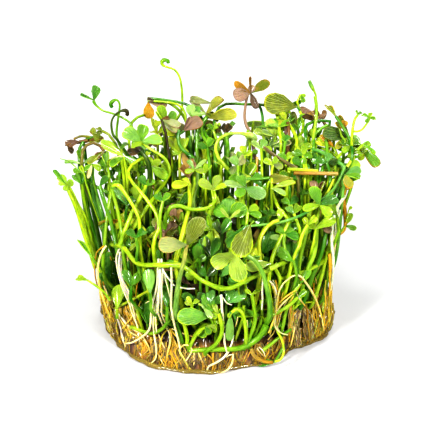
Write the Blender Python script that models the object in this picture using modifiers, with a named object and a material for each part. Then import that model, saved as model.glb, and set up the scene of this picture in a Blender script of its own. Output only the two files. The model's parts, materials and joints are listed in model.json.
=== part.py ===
"""A cup-grown clump of water clover (Marsilea), lifted out of its cup and standing on its mat of roots.

Frame: metres, +Z up, -Y towards the front, origin at the centre of the mat's flat underside.
Lengths below are written in millimetres and turned into metres by MM.
"""

import math

import bmesh
import bpy
from mathutils import Matrix, Vector
from mathutils.bvhtree import BVHTree

MM = 0.001
CLUMP_NAME = "water_clover_clump"

# Clear space left where two pieces touch.
GAP = 0.4 * MM

# The mat of roots, moulded by the round cup that it grew in.
MAT_RADIUS = 29.2
MAT_HEIGHT = 8.4
MAT_STRANDS = 24
MAT_SIDES = 72

# The thicket of small fronds inside the ring of tall ones.
THICKET_FRONT_RADIUS = 23.6
THICKET_BACK_RADIUS = 25.4
THICKET_TOP = 37.5
THICKET_LOWEST = 17.0
THICKET_SIDES = 36
THICKET_EDGE = 1.5
# Its rings, from the middle of its underside out, up and in: shares of its radius, and of its wall's height.
THICKET_RINGS = (0, 1, 1, 1, 1, 0.8, 0.6, 0.4, 0.2, 0)
THICKET_WALL = (0, 0, 0.36, 0.72)
THICKET_CLEARANCE = 1.3

# Tubes and leaves.
TUBE_SIDES_SETTING = 1
LEAF_THICKNESS = 0.42
LEAF_HUB = 0.42

# A leaflet's shape: how far out each cross row lies, at its sides and at its middle, and its half widths.
LEAFLET_STEPS = (0, 0.36, 0.74, 0.94)
LEAFLET_MIDDLE = (0, 0.36, 0.74, 1.0)
LEAFLET_HALF_WIDTHS = (0.33, 0.5, 0.33)

# How the clump was drawn: from in front, a little above, one eye looking at one sheet.
EYE_TILT = math.radians(25)
EYE_DISTANCE = 460.0
SHEET_CENTRE = Vector((-0.6, 0.0, 28.5))
SHEET_UP_OF_CENTRE = 25.5
TOWARDS_SHEET = Vector((0, math.cos(EYE_TILT), -math.sin(EYE_TILT)))
UP_THE_SHEET = Vector((0, math.sin(EYE_TILT), math.cos(EYE_TILT)))

# Colours: linear red, green and blue, with roughness.
FINISHES = {
    "stalk_lime": ((0.42, 0.66, 0.02), 0.35),
    "stalk_green": ((0.10, 0.40, 0.02), 0.35),
    "stalk_dark": ((0.03, 0.12, 0.02), 0.4),
    "stalk_brown": ((0.16, 0.10, 0.04), 0.5),
    "leaf_green": ((0.12, 0.42, 0.03), 0.3),
    "leaf_lime": ((0.40, 0.60, 0.03), 0.35),
    "leaf_olive": ((0.22, 0.26, 0.05), 0.4),
    "leaf_brown": ((0.24, 0.13, 0.08), 0.5),
    "leaf_orange": ((0.55, 0.22, 0.02), 0.4),
    "thicket_green": ((0.05, 0.22, 0.02), 0.4),
    "root_white": ((0.80, 0.74, 0.52), 0.4),
    "root_amber": ((0.60, 0.36, 0.08), 0.4),
    "mat_brown": ((0.20, 0.09, 0.03), 0.45),
}


def at(across, up, depth):
    """The place seen at (across, up) on the sheet, slid along its sight line to that depth behind it."""
    eye = SHEET_CENTRE - TOWARDS_SHEET * EYE_DISTANCE
    on_sheet = SHEET_CENTRE + Vector((across - SHEET_CENTRE.x, 0, 0))
    on_sheet += UP_THE_SHEET * (up - SHEET_UP_OF_CENTRE)
    sight = on_sheet - eye
    return eye + sight * ((depth - eye.y) / sight.y)


def finish(name):
    colour, roughness = FINISHES[name]
    material = bpy.data.materials.get(name)
    if material is None:
        material = bpy.data.materials.new(name)
        material.use_nodes = True
        shader = material.node_tree.nodes["Principled BSDF"]
        shader.inputs["Base Color"].default_value = (*colour, 1)
        shader.inputs["Roughness"].default_value = roughness
        shader.inputs["Metallic"].default_value = 0
        material.diffuse_color = (*colour, 1)
    return material


def add_object(name, data, finish_name):
    item = bpy.data.objects.new(name, data)
    item.data.materials.append(finish(finish_name))
    bpy.data.collections[CLUMP_NAME].objects.link(item)
    return item


# Routes and tubes.


def smooth_route(points, count):
    """count places, evenly spaced along one smooth curve through the given points."""
    ends = [points[0] * 2 - points[1], *points, points[-1] * 2 - points[-2]]
    fine = []
    for a, b, c, d in zip(ends, ends[1:], ends[2:], ends[3:]):
        for step in range(10):
            t = step / 10
            fine.append(
                b
                + (c - a) * (t / 2)
                + (a * 2 - b * 5 + c * 4 - d) * (t * t / 2)
                + (b * 3 - a - c * 3 + d) * (t**3 / 2)
            )
    fine.append(points[-1].copy())
    lengths = [0.0]
    for before, after in zip(fine, fine[1:]):
        lengths.append(lengths[-1] + (after - before).length)
    route = []
    for index in range(count):
        wanted = lengths[-1] * index / (count - 1)
        place = next(i for i, length in enumerate(lengths) if length >= wanted - 1e-9)
        if place == 0:
            route.append(fine[0].copy())
            continue
        span = lengths[place] - lengths[place - 1]
        share = (wanted - lengths[place - 1]) / max(span, 1e-9)
        route.append(fine[place - 1].lerp(fine[place], share))
    return route


def curl(route, side, radius, turns, step_count):
    """The places of a young frond's rolled tip: it leaves the route and winds towards side, ever tighter."""
    ahead = (route[-1] - route[-2]).normalized()
    inwards = (side - ahead * side.dot(ahead)).normalized()
    place, angle, tip = route[-1].copy(), 0.0, []
    for index in range(step_count):
        turn = 2 * math.pi * turns / step_count
        tight = radius * (1 - 0.45 * index / step_count)
        angle += turn
        middle = angle - turn / 2
        place = place + (ahead * math.cos(middle) + inwards * math.sin(middle)) * (tight * turn)
        tip.append(place.copy())
    return tip


def add_tube(name, route, radii, finish_name):
    """A round stem along the route, given in millimetres, with one radius for each place."""
    path = bpy.data.curves.new(name, "CURVE")
    path.dimensions = "3D"
    path.bevel_depth = MM
    path.bevel_resolution = TUBE_SIDES_SETTING
    path.use_fill_caps = True
    spline = path.splines.new("POLY")
    spline.points.add(len(route) - 1)
    for point, place, radius in zip(spline.points, route, radii):
        point.co = (*(place * MM), 1)
        point.radius = radius
    return add_object(name, path, finish_name)


def taper(first, last, count):
    return [first + (last - first) * index / (count - 1) for index in range(count)]


# The mat of roots and the thicket: turned bodies whose surface is then pushed about.


def turned_body(profile, sides):
    """A closed body turned about +Z from (radius, height) points that start and end on the axis."""
    body = bmesh.new()
    line = [body.verts.new((radius, 0, height)) for radius, height in profile]
    edges = [body.edges.new(pair) for pair in zip(line, line[1:])]
    bmesh.ops.spin(
        body,
        geom=line + edges,
        axis=(0, 0, 1),
        cent=(0, 0, 0),
        angle=2 * math.pi,
        steps=sides,
        use_merge=True,
    )
    bmesh.ops.remove_doubles(body, verts=body.verts, dist=1e-4)
    bmesh.ops.recalc_face_normals(body, faces=body.faces)
    return body


def strand_push(angle, height):
    """How far the fused root strands stand out of the mat's wall at this angle and height."""
    lean = 0.5 * math.sin(3 * angle + 0.4) + 0.05 * height
    strands = 0.42 * math.sin(MAT_STRANDS * angle + lean * 2.0)
    bundles = 0.55 * math.sin(7 * angle + 1.1) + 0.35 * math.sin(4 * angle - 0.6 + 0.12 * height)
    return strands + bundles


def mat_top(x, y):
    """Height of the mat's lumpy top."""
    lumps = 0.5 * math.sin(0.33 * x + 0.9) * math.cos(0.29 * y) + 0.35 * math.sin(0.21 * y - 0.13 * x)
    return MAT_HEIGHT + lumps


def add_mat():
    profile = [
        (0, 0),
        (MAT_RADIUS - 1.2, 0),
        (MAT_RADIUS - 0.1, 1.4),
        (MAT_RADIUS, 4.2),
        (MAT_RADIUS - 0.5, 6.8),
        (MAT_RADIUS - 0.9, MAT_HEIGHT),
        (MAT_RADIUS * 0.66, MAT_HEIGHT),
        (MAT_RADIUS * 0.33, MAT_HEIGHT),
        (0, MAT_HEIGHT),
    ]
    body = turned_body(profile, MAT_SIDES)
    for vertex in body.verts:
        place = vertex.co
        radius = math.hypot(place.x, place.y)
        angle = math.atan2(place.y, place.x)
        if radius > MAT_RADIUS - 2:
            share = 0.25 if place.z == 0 else 0.6 if place.z == MAT_HEIGHT else 1.0
            grown = radius + strand_push(angle, place.z) * share
            place.x, place.y = grown * math.cos(angle), grown * math.sin(angle)
        if place.z > MAT_HEIGHT - 0.01:
            place.z = mat_top(place.x, place.y)
    bmesh.ops.scale(body, vec=(MM, MM, MM), verts=body.verts)
    mesh = bpy.data.meshes.new("root_mat")
    body.to_mesh(mesh)
    body.free()
    mesh.shade_smooth()
    return add_object("root_mat", mesh, "mat_brown")


def thicket_radius(angle, height):
    """The thicket's outer radius: wider at the back, where nothing stands in front of it, and lumpy."""
    back = 0.5 + 0.5 * math.sin(angle)
    radius = THICKET_FRONT_RADIUS + (THICKET_BACK_RADIUS - THICKET_FRONT_RADIUS) * back
    lumps = 0.7 * math.sin(6 * angle + 0.2 * height) + 0.5 * math.sin(11 * angle - 0.3 * height)
    return radius + lumps - 0.6


def thicket_top(x, y):
    """The height that the small leaves reach, before tall stalks push them aside."""
    lumps = 1.6 * math.sin(0.55 * x + 0.7) * math.sin(0.5 * y + 1.9) + 0.9 * math.sin(0.9 * x - 0.4 * y)
    fall = 0.004 * (x * x + y * y)
    return THICKET_TOP + lumps - fall + 0.08 * y


def height_under(x, y, stems, reach):
    """How high the thicket may stand here and still pass below the stems, given as (place, radius) pairs."""
    highest = thicket_top(x, y)
    for place, radius in stems:
        if math.hypot(place.x - x, place.y - y) < reach + radius:
            highest = min(highest, place.z - radius - THICKET_CLEARANCE)
    return max(highest, THICKET_LOWEST)


def add_thicket(stems):
    """The body of small fronds: upright walls, then rings that close its lumpy top."""
    base = MAT_HEIGHT + 0.95 + GAP / MM
    body = turned_body([(share, ring) for ring, share in enumerate(THICKET_RINGS)], THICKET_SIDES)
    for vertex in body.verts:
        ring = round(vertex.co.z)
        share = THICKET_RINGS[ring]
        angle = math.atan2(vertex.co.y, vertex.co.x)
        radius = thicket_radius(angle, 6.0 * ring) * share
        x, y = radius * math.cos(angle), radius * math.sin(angle)
        if ring == 0:
            vertex.co = (0, 0, base)
        elif ring < len(THICKET_WALL):
            rim = thicket_radius(angle, 24.0)
            top = height_under(rim * math.cos(angle), rim * math.sin(angle), stems, 2.0) - THICKET_EDGE
            vertex.co = (x, y, base + (top - base) * THICKET_WALL[ring])
        else:
            edge = THICKET_EDGE if share == 1 else 0
            vertex.co = (x, y, height_under(x, y, stems, 2.4) - edge)
    bmesh.ops.scale(body, vec=(MM, MM, MM), verts=body.verts)
    mesh = bpy.data.meshes.new("inner_fronds")
    body.to_mesh(mesh)
    body.free()
    mesh.shade_smooth()
    return add_object("inner_fronds", mesh, "thicket_green")


# Leaves: a small hub with wedge-shaped leaflets round it, made as one surface with a thickness.


def add_leaflet(surface, angle, length, width, lift, cup):
    """One leaflet, laid along +X from the hub's edge, lifted, cupped, and turned to its angle."""
    made = bmesh.ops.create_grid(surface, x_segments=3, y_segments=2, size=1.0)
    turn = Matrix.Rotation(angle, 3, "Z")
    for vertex in made["verts"]:
        step = round((vertex.co.x + 1) * 1.5)
        side = round(vertex.co.y)
        along = LEAFLET_STEPS[step] if side else LEAFLET_MIDDLE[step]
        half = (LEAF_HUB, *(width * share for share in LEAFLET_HALF_WIDTHS))[step]
        reach = along * length
        rise = reach * math.sin(lift) + (cup * abs(side) * half * 0.5 if step else 0)
        vertex.co = turn @ Vector((LEAF_HUB + reach * math.cos(lift), side * half, rise))


def add_leaf(name, hub, facing, spin, quarters, length, width, lift, finish_name, cup):
    """A leaf blade at its hub, with a leaflet in each of the named quarters, counted on from spin."""
    surface = bmesh.new()
    bmesh.ops.create_grid(surface, x_segments=2, y_segments=2, size=LEAF_HUB)
    for quarter in quarters:
        add_leaflet(surface, quarter * math.pi / 2, length, width, math.radians(lift), cup)
    bmesh.ops.remove_doubles(surface, verts=surface.verts, dist=0.02)
    bmesh.ops.recalc_face_normals(surface, faces=surface.faces)
    normal = Vector(facing).normalized()
    across = Vector((1, 0, 0))
    across = (across - normal * across.dot(normal)).normalized()
    turn = Matrix((across, normal.cross(across), normal)).transposed().to_4x4()
    turn = turn @ Matrix.Rotation(math.radians(spin), 4, "Z")
    turn.translation = hub
    bmesh.ops.transform(surface, matrix=Matrix.Scale(MM, 4) @ turn, verts=surface.verts)
    mesh = bpy.data.meshes.new(name)
    surface.to_mesh(mesh)
    surface.free()
    leaf = add_object(name, mesh, finish_name)
    thickness = leaf.modifiers.new("Thickness", "SOLIDIFY")
    thickness.thickness = LEAF_THICKNESS * MM
    thickness.offset = 0
    return leaf


# What grows. Each drawn place is (across, up, depth) in millimetres, from the foot to the tip.
# A stem that is carried by the mat or the thicket starts where its foot meets that surface.

MAT, THICKET, RUNNER = "root_mat", "inner_fronds", "runner"


def blade(facing, spin, quarters, length, width, lift, finish_name, cup=0.5):
    """A leaf blade: the side it faces, the turn of its first leaflet, and which quarters have a leaflet."""
    return {
        "facing": facing,
        "spin": spin,
        "quarters": quarters,
        "length": length,
        "width": width,
        "lift": lift,
        "finish_name": finish_name,
        "cup": cup,
    }


ALL_FOUR = (0, 1, 2, 3)

# carried by, thickness, finish of the stalk, drawn route, leaf blade
FRONDS = (
    # The left edge, from the low outer frond to the withered one that leans out at the top.
    (MAT, 1.3, "stalk_green",
     ((-26.0, 5, -5), (-29.3, 11.5, -5), (-31.5, 17, -5.5), (-33.4, 24, -6), (-35.6, 29, -6), (-37.6, 33, -6)),
     blade((-0.3, -0.8, 0.5), 50, (0, 1), 3.6, 3.6, 25, "leaf_green")),
    (MAT, 1.5, "stalk_dark",
     ((-26.4, 8.6, 3), (-29.6, 17.6, 3), (-31.3, 22.5, 3), (-32.6, 28, 3), (-33.4, 34, 3), (-33.8, 38.3, 3)),
     blade((0, -0.3, 1), 10, (0, 1, 2), 4.6, 3.4, 20, "leaf_olive")),
    (MAT, 1.3, "stalk_dark",
     ((-24.4, 11.5, 10), (-27.5, 19, 9.5), (-30, 27, 9.5), (-32.3, 36, 9), (-33.5, 43.5, 9)),
     blade((-0.3, -0.3, 0.9), 175, (0, 2), 4.4, 2.8, 10, "leaf_brown")),
    # The S-shaped lime frond that grows from the front runner and ends in the pale leaf.
    (RUNNER, 1.2, "stalk_lime",
     ((-23.7, 18.8, -17.7), (-18.2, 26.6, -13), (-14.3, 32.2, -7), (-12.0, 35.5, -3), (-12.6, 38.9, 0),
      (-15.4, 41.1, 2), (-19.0, 43.9, 3)),
     blade((0.1, -0.6, 0.8), 20, ALL_FOUR, 5.2, 5.0, 12, "leaf_lime")),
    # The back row, left to right.
    (THICKET, 1.0, "stalk_green",
     ((-8, 30, 19), (-7, 40, 21), (-7.5, 48, 22), (-10.5, 52.5, 22), (-14.4, 54.2, 23.4), (-17.3, 53.8, 21.4)),
     blade((0, -1, 0.2), -90, (0, 1), 3.6, 3.2, 10, "leaf_orange")),
    (THICKET, 1.1, "stalk_dark",
     ((-3.5, 30, 5), (-7.6, 41.1, 7), (-9.5, 43.3, 8), (-9.8, 45.5, 8), (-8.4, 46.6, 8)),
     blade((0, -0.8, 0.6), 40, (0,), 5.2, 4.4, 10, "leaf_brown")),
    (THICKET, 1.1, "stalk_dark",
     ((-0.5, 33, 11), (-1.4, 42.8, 12), (-3.4, 45, 13), (-3.7, 48.3, 14), (-2.8, 50.8, 14)),
     blade((-0.1, -0.35, 0.9), 20, ALL_FOUR, 5.6, 4.0, 25, "leaf_olive")),
    (THICKET, 1.0, "stalk_brown",
     ((9.5, 36, 12), (8.6, 45, 13), (7.5, 47.2, 14), (6.8, 50, 15), (7.2, 53.9, 16), (7.8, 56, 16)),
     blade((0, -0.85, 0.5), 35, ALL_FOUR, 4.0, 3.6, 10, "leaf_brown")),
    (THICKET, 1.1, "stalk_green",
     ((17.2, 36, 10.5), (19.2, 44, 15.5), (18.8, 49, 17.5), (17.6, 52.2, 18)),
     blade((-0.2, -0.7, 0.7), 155, (0, 1), 6.2, 5.6, 15, "leaf_olive")),
    # The right edge.
    (MAT, 1.2, "stalk_green",
     ((26.3, 9, 5), (29.5, 20, 6), (31.5, 30, 6.5), (33.6, 38, 7), (33, 45, 7)),
     blade((0, -0.6, 0.8), 180, (0, 3), 5.6, 4.0, 20, "leaf_olive")),
    (THICKET, 1.0, "stalk_lime",
     ((20.5, 32, 2), (27.5, 36.8, 3), (32.6, 40.2, 4), (36, 42.4, 4)),
     blade((0.2, -0.7, 0.6), -55, (0, 1, 2), 4.6, 4.4, 10, "leaf_green")),
    (MAT, 1.2, "stalk_green",
     ((25.4, 4.3, -8), (29, 13, -8.5), (30.5, 22, -8), (31.2, 30, -7), (32, 35.5, -7)),
     blade((0.3, -0.4, 0.85), 10, (0, 1, 3), 4.6, 3.8, 15, "leaf_green")),
    # The middle, over the thicket.
    (THICKET, 1.2, "stalk_green",
     ((6.5, 20, -17), (6.1, 24, -17.5), (6.3, 28, -16.5), (6.9, 32.3, -15.5)),
     blade((0, -0.45, 0.9), -30, ALL_FOUR, 5.2, 5.0, 12, "leaf_green")),
    # The front: the olive frond, the open clover and the tall lime frond behind it.
    (MAT, 1.5, "stalk_green",
     ((-9.8, -3.2, -24.6), (-10.4, 2, -28), (-9.8, 8, -30), (-8.4, 14, -31), (-7.6, 18, -31.3)),
     blade((0, -1, 0.25), 80, (0, 1), 6.2, 5.0, 15, "leaf_olive")),
    (MAT, 1.5, "stalk_green",
     ((11.2, -3.0, -24.2), (13.1, 0.3, -28), (12.5, 6.5, -29.5), (10.6, 12.6, -29.6), (7.2, 15.6, -28.9),
      (4.2, 16.2, -31)),
     blade((0, -0.93, 0.35), 20, (1, 2, 3), 5.8, 5.4, 15, "leaf_lime")),
    (MAT, 1.3, "stalk_lime",
     ((15.0, -2, -22), (12.8, 6.5, -26), (13.4, 13.2, -24), (14.7, 17.6, -21.5), (17, 22.1, -19),
      (17.5, 25.2, -17), (14.7, 28.2, -15), (13.7, 32.2, -13)),
     blade((0, -0.6, 0.8), 5, (0, 3), 5.4, 3.4, 30, "leaf_lime")),
    (RUNNER, 1.2, "stalk_lime",
     ((-10.4, 14.3, -27.7), (-8.7, 19.9, -22), (-7.3, 26.6, -15.5), (-5.9, 32.2, -10), (-5.7, 36.8, -8)),
     blade((0, -0.4, 0.9), 50, ALL_FOUR, 3.4, 2.8, 30, "leaf_lime")),
    (THICKET, 1.2, "stalk_green",
     ((-13.2, 20, -17.5), (-12.9, 25.2, -18.5), (-10.9, 27.9, -18.8), (-6.5, 26.9, -19), (-2.6, 27.2, -18.5),
      (-0.5, 29.2, -18), (-0.8, 31.8, -17.5)),
     blade((0, -0.5, 0.85), 165, (0, 3), 3.8, 3.2, 20, "leaf_lime")),
    (MAT, 1.2, "stalk_green",
     ((22.2, 0.9, -14.6), (22.9, 10, -14.8), (24.2, 19, -15.2), (25.6, 28, -15.5)),
     blade((0.1, -0.6, 0.75), 20, (0, 1, 2), 4.8, 4.4, 15, "leaf_green")),
    (MAT, 1.0, "stalk_green",
     ((-2, -4.1, -26.5), (-1.2, -2, -28.5), (-1.7, 0.2, -30)),
     blade((0, -0.6, 0.8), 190, (0, 3), 6.4, 5.2, 15, "leaf_green")),
    # One tall frond behind the back runner.
    (MAT, 1.2, "stalk_green",
     ((5, 20.8, 26), (6, 32, 30.5), (8, 42, 32.5), (9, 49, 33.5)),
     blade((0.1, 0.6, 0.7), 30, ALL_FOUR, 5.2, 4.8, 15, "leaf_green")),
)

# carried by, thickness at the foot, finish, drawn route, roll: side, radius and turns, bud radius
YOUNG_FRONDS = (
    (THICKET, 0.9, "stalk_lime",
     ((-12.6, 36, 17.5), (-13.1, 44.4, 23), (-10.9, 48.4, 24.5), (-9.2, 50.9, 25), (-8.8, 55.3, 25.5),
      (-9.5, 60.1, 25.5), (-11.4, 62.1, 25.5)),
     ((0, 0, 1), 1.05, 0.72), 0.42),
    (THICKET, 1.1, "stalk_green",
     ((18.6, 36, 10.5), (22.6, 44.4, 16.5), (24.3, 48.3, 18), (24.5, 52.8, 18), (23.9, 56.4, 18)),
     ((-1, 0, 0), 2.2, 0.15), 0.6),
    (THICKET, 0.8, "stalk_green",
     ((-18.4, 37, 10), (-21.3, 47, 13.5), (-22.3, 49, 15), (-26, 50.8, 16), (-28.8, 51.7, 16),
      (-30.7, 53.4, 16)),
     ((0, 0, 1), 3.0, 0.1), 0.8),
    (THICKET, 0.8, "stalk_green",
     ((-19.4, 33, 10), (-24.6, 43.3, 16.5), (-25.1, 47.8, 18), (-24.6, 51.6, 18)),
     ((-1, 0, 0), 1.1, 0.55), 0.6),
    (THICKET, 0.9, "stalk_brown",
     ((-19.6, 35, 6.5), (-24.3, 43.3, 11.5), (-26.3, 46.1, 13), (-26.5, 49.2, 13)),
     ((1, 0, 0), 1.9, 0.5), 0.75),
    (THICKET, 1.0, "stalk_brown",
     ((-17.6, 24, -8), (-17.6, 31, -6), (-17.1, 35.5, -5), (-17.6, 38.9, -4.5), (-18.9, 41, -4.5)),
     ((-1, 0, -0.6), 2.0, 0.2), 1.1),
    (THICKET, 1.1, "stalk_lime",
     ((6.8, 31, -3), (6.1, 34.4, -1.5), (3.6, 36.1, -1), (0.5, 39.4, 0), (-0.4, 42.8, 1), (1.4, 45.2, 2),
      (4.7, 46, 3), (8, 45.5, 3.5)),
     ((0, 0, -1), 4.0, 0.1), 0.8),
    (MAT, 1.2, "stalk_lime",
     ((-15.2, -1.6, -21.4), (-17.6, 8.7, -22), (-19.3, 16.5, -21), (-19.4, 22.1, -19), (-20.1, 26, -18),
      (-22.1, 29.4, -16.5), (-24, 32.2, -15.5)),
     ((-0.6, 0, -1), 1.8, 0.3), 0.6),
)

# name, thickness, drawn route
RUNNERS = (
    ("runner_front", 1.2,
     ((-23.8, 19.4, -2.3), (-26.3, 18.5, -6.8), (-25.8, 17.9, -13), (-23.8, 17.65, -18), (-22.1, 15.4, -20.5),
      (-20.4, 13.6, -22.8), (-17.1, 12.9, -25.2), (-13.2, 13.1, -27.4), (-9.8, 12.9, -28), (-7.6, 12, -28.2),
      (-3.1, 8.7, -28.6), (0.8, 6.8, -29.2), (4.7, 8.2, -28.6), (8.6, 9.8, -28), (12, 11.6, -27.2),
      (16, 13.2, -24.6), (17.6, 14, -21.5))),
    ("runner_right", 1.1,
     ((15.5, 9.6, -22.5), (17.5, 9.9, -21.7), (20.3, 10.7, -19.9), (23.6, 12.2, -18.4), (26.3, 13.8, -14.2),
      (27, 15.8, -9.5), (24.2, 17.6, -4.4))),
    ("runner_back", 1.2,
     ((-17.3, 31.5, 18.9), (-12, 34, 25.4), (-4, 35.6, 28.8), (5, 35.3, 28.2), (13, 33.5, 25.2),
      (17.0, 31.5, 18.3))),
)

# thickness, finish, drawn route from where the root leaves its runner or stalk to its foot on the mat
HANGING_ROOTS = (
    (1.0, "root_white", ((-24.2, 16.1, -18.5), (-24.3, 11, -18.9), (-22.2, 5.4, -19.6), (-18.6, -0.6, -18.6))),
    (1.0, "root_white", ((-14.4, 11.7, -27.1), (-14.3, 6.5, -27.2), (-14.2, 0.5, -25.5), (-12.9, -2, -23.2))),
    (0.8, "root_white", ((0.9, 5.4, -29.1), (1.4, 0, -28.6), (1.6, -3.8, -26.4))),
    (0.9, "root_amber", ((19.6, 9.4, -20.6), (18.4, 6, -21.8), (17.8, 1.5, -21.2), (17.6, -0.8, -19.8))),
    (1.0, "root_amber", ((30.4, 27, -9.3), (29.4, 20, -12), (28.2, 12, -12), (24.6, 3.4, -9.9))),
)

STALK_PLACES = 9
YOUNG_PLACES = 10
ROLL_PLACES = 9
RUNNER_PLACES = 12
ROOT_PLACES = 7
FREE_OF_FOOT = 4.0


def placed(drawn):
    return [at(*place) for place in drawn]


def stem_samples():
    """Every stem and leaf as (place, radius) pairs, which the thicket has to pass below."""
    samples = []
    for carrier, thick, _, drawn, *_ in FRONDS + YOUNG_FRONDS:
        route = smooth_route(placed(drawn), 30)
        for place in route:
            if carrier != THICKET or (place - route[0]).length > FREE_OF_FOOT:
                samples.append((place, thick / 2))
    for _, _, _, drawn, leaf in FRONDS:
        samples.append((at(*drawn[-1]) - Vector((0, 0, 0.8)), leaf["length"] * 0.9))
    for _, thick, drawn in RUNNERS:
        samples += [(place, thick / 2) for place in smooth_route(placed(drawn), 40)[5:-5]]
    for thick, _, drawn in HANGING_ROOTS:
        samples += [(place, thick / 2) for place in smooth_route(placed(drawn), 20)]
    return samples


def surface_of(item):
    graph = bpy.context.evaluated_depsgraph_get()
    return BVHTree.FromObject(item, graph)


def dropped_foot(place, surface, thick):
    """The foot's place where it stands on the surface below it, GAP clear of it."""
    heights = []
    for turn in range(6):
        angle = turn * math.pi / 3
        x = place.x + thick / 2 * math.cos(angle)
        y = place.y + thick / 2 * math.sin(angle)
        hit = surface.ray_cast(Vector((x * MM, y * MM, 0.1)), Vector((0, 0, -1)))[0]
        heights.append(hit.z / MM)
    return Vector((place.x, place.y, max(heights) + GAP / MM))


def standing_route(drawn, carrier, surfaces, thick, count):
    """The stem's route with its foot set upright on the surface that carries it."""
    points = placed(drawn)
    if carrier in surfaces:
        foot = dropped_foot(points[0], surfaces[carrier], thick)
        above = foot + Vector((0, 0, 0.6))
        points = [foot, above] + [p for p in points[1:] if p.z > above.z + 1.2]
    return smooth_route(points, count)


def add_frond(number, surfaces, carrier, thick, stalk_finish, drawn, leaf):
    hub = at(*drawn[-1])
    normal = Vector(leaf["facing"]).normalized()
    route = standing_route(drawn, carrier, surfaces, thick, STALK_PLACES + 1)
    side = 1 if (route[-2] - hub).dot(normal) > 0 else -1
    route[-1] = hub + normal * side * (LEAF_THICKNESS / 2 + 0.65)
    radii = taper(thick / 2, thick / 2 * 0.62, len(route))
    add_tube(f"stalk_{number:02d}", route, radii, stalk_finish)
    add_leaf(f"leaf_{number:02d}", hub, **leaf)


def add_young_frond(number, surfaces, carrier, thick, finish_name, drawn, roll, bud_radius):
    route = standing_route(drawn, carrier, surfaces, thick, YOUNG_PLACES)
    side, radius, turns = roll
    tip = curl(route, Vector(side), radius, turns, ROLL_PLACES)
    radii = taper(thick / 2, thick / 2 * 0.6, len(route) + len(tip))
    for place, share in ((-3, 0.75), (-2, 1.0), (-1, 0.45)):
        radii[place] = bud_radius * share
    add_tube(f"young_frond_{number:02d}", route + tip, radii, finish_name)


def main():
    for item in list(bpy.data.objects):
        bpy.data.objects.remove(item)
    bpy.context.scene.collection.children.link(bpy.data.collections.new(CLUMP_NAME))
    mat = add_mat()
    thicket = add_thicket(stem_samples())
    surfaces = {MAT: surface_of(mat), THICKET: surface_of(thicket)}
    for number, frond in enumerate(FRONDS, start=1):
        add_frond(number, surfaces, *frond)
    for number, young in enumerate(YOUNG_FRONDS, start=1):
        add_young_frond(number, surfaces, *young)
    for name, thick, drawn in RUNNERS:
        route = smooth_route(placed(drawn), RUNNER_PLACES)
        add_tube(name, route, [thick / 2] * RUNNER_PLACES, "stalk_lime")
    for number, (thick, finish_name, drawn) in enumerate(HANGING_ROOTS, start=1):
        route = smooth_route(placed(drawn), ROOT_PLACES)
        route[-1] = dropped_foot(route[-1], surfaces[MAT], thick)
        radii = taper(thick / 2, thick / 2 * 0.7, ROOT_PLACES)
        add_tube(f"hanging_root_{number:02d}", route, radii, finish_name)


main()
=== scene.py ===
# %% [markdown]
# # Water clover, grown in a cup
#
# A small water fern that grew in a round cup and was taken out whole. Its roots kept the shape of
# the cup. Creeping stems run round the outside, and from them and from the mat rise thin stalks
# with a clover of wedge-shaped leaflets, or with a tip that is still rolled up.
#
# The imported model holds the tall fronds, the runners and the thick roots at their true places. This
# lesson dresses them, and adds the hundreds of small things that the model leaves out.

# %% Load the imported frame
import json
import math

import bmesh
import bpy
import numpy as np
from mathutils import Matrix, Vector


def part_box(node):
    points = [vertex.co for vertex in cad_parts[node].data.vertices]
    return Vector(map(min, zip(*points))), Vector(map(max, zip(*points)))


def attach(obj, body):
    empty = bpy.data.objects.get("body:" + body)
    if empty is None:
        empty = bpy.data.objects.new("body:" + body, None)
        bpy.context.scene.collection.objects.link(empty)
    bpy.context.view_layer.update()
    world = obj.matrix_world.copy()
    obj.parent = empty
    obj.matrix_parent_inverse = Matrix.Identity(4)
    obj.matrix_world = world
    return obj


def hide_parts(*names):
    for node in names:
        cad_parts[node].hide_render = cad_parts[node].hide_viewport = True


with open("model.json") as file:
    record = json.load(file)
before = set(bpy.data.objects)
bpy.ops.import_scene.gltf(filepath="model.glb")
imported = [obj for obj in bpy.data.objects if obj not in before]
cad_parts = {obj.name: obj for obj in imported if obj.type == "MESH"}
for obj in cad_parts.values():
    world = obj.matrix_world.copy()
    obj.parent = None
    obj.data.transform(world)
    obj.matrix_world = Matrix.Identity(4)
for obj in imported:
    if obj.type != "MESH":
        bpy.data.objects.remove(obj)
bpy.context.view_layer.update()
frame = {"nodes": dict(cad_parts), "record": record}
cad_nodes = frame["nodes"]
MM = 0.001
print("nodes in the frame:", len(cad_nodes))

# %% [markdown]
# ## Places on the picture sheet
#
# The plant was drawn on a sheet that leans back as the camera does. A place is given as three
# millimetre values: how far across the sheet, how far up it, and how deep into the plant. The deep
# value follows the line of sight, so a leaf stays under the same spot of the picture however deep
# it is set. Trial and error in plain X, Y and Z would also work, but much more slowly.

# %% Turn a drawn place into a place in the model
EYE_TILT = math.radians(25)
EYE_DISTANCE = 460
SHEET_CENTRE = Vector((-0.6, 0, 28.5))
SHEET_UP_OF_CENTRE = 25.5
TOWARDS_SHEET = Vector((0, math.cos(EYE_TILT), -math.sin(EYE_TILT)))
UP_THE_SHEET = Vector((0, math.sin(EYE_TILT), math.cos(EYE_TILT)))
EYE = SHEET_CENTRE - TOWARDS_SHEET * EYE_DISTANCE


def at(across, up, depth):
    on_sheet = SHEET_CENTRE + Vector((across - SHEET_CENTRE.x, 0, 0))
    on_sheet += UP_THE_SHEET * (up - SHEET_UP_OF_CENTRE)
    sight = on_sheet - EYE
    return np.array(EYE + sight * ((depth - EYE.y) / sight.y))

# %% [markdown]
# ## Camera
#
# A long lens from the front and 25 degrees up, as a product photographer would stand. The long lens
# keeps the round mat from bulging.

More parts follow.
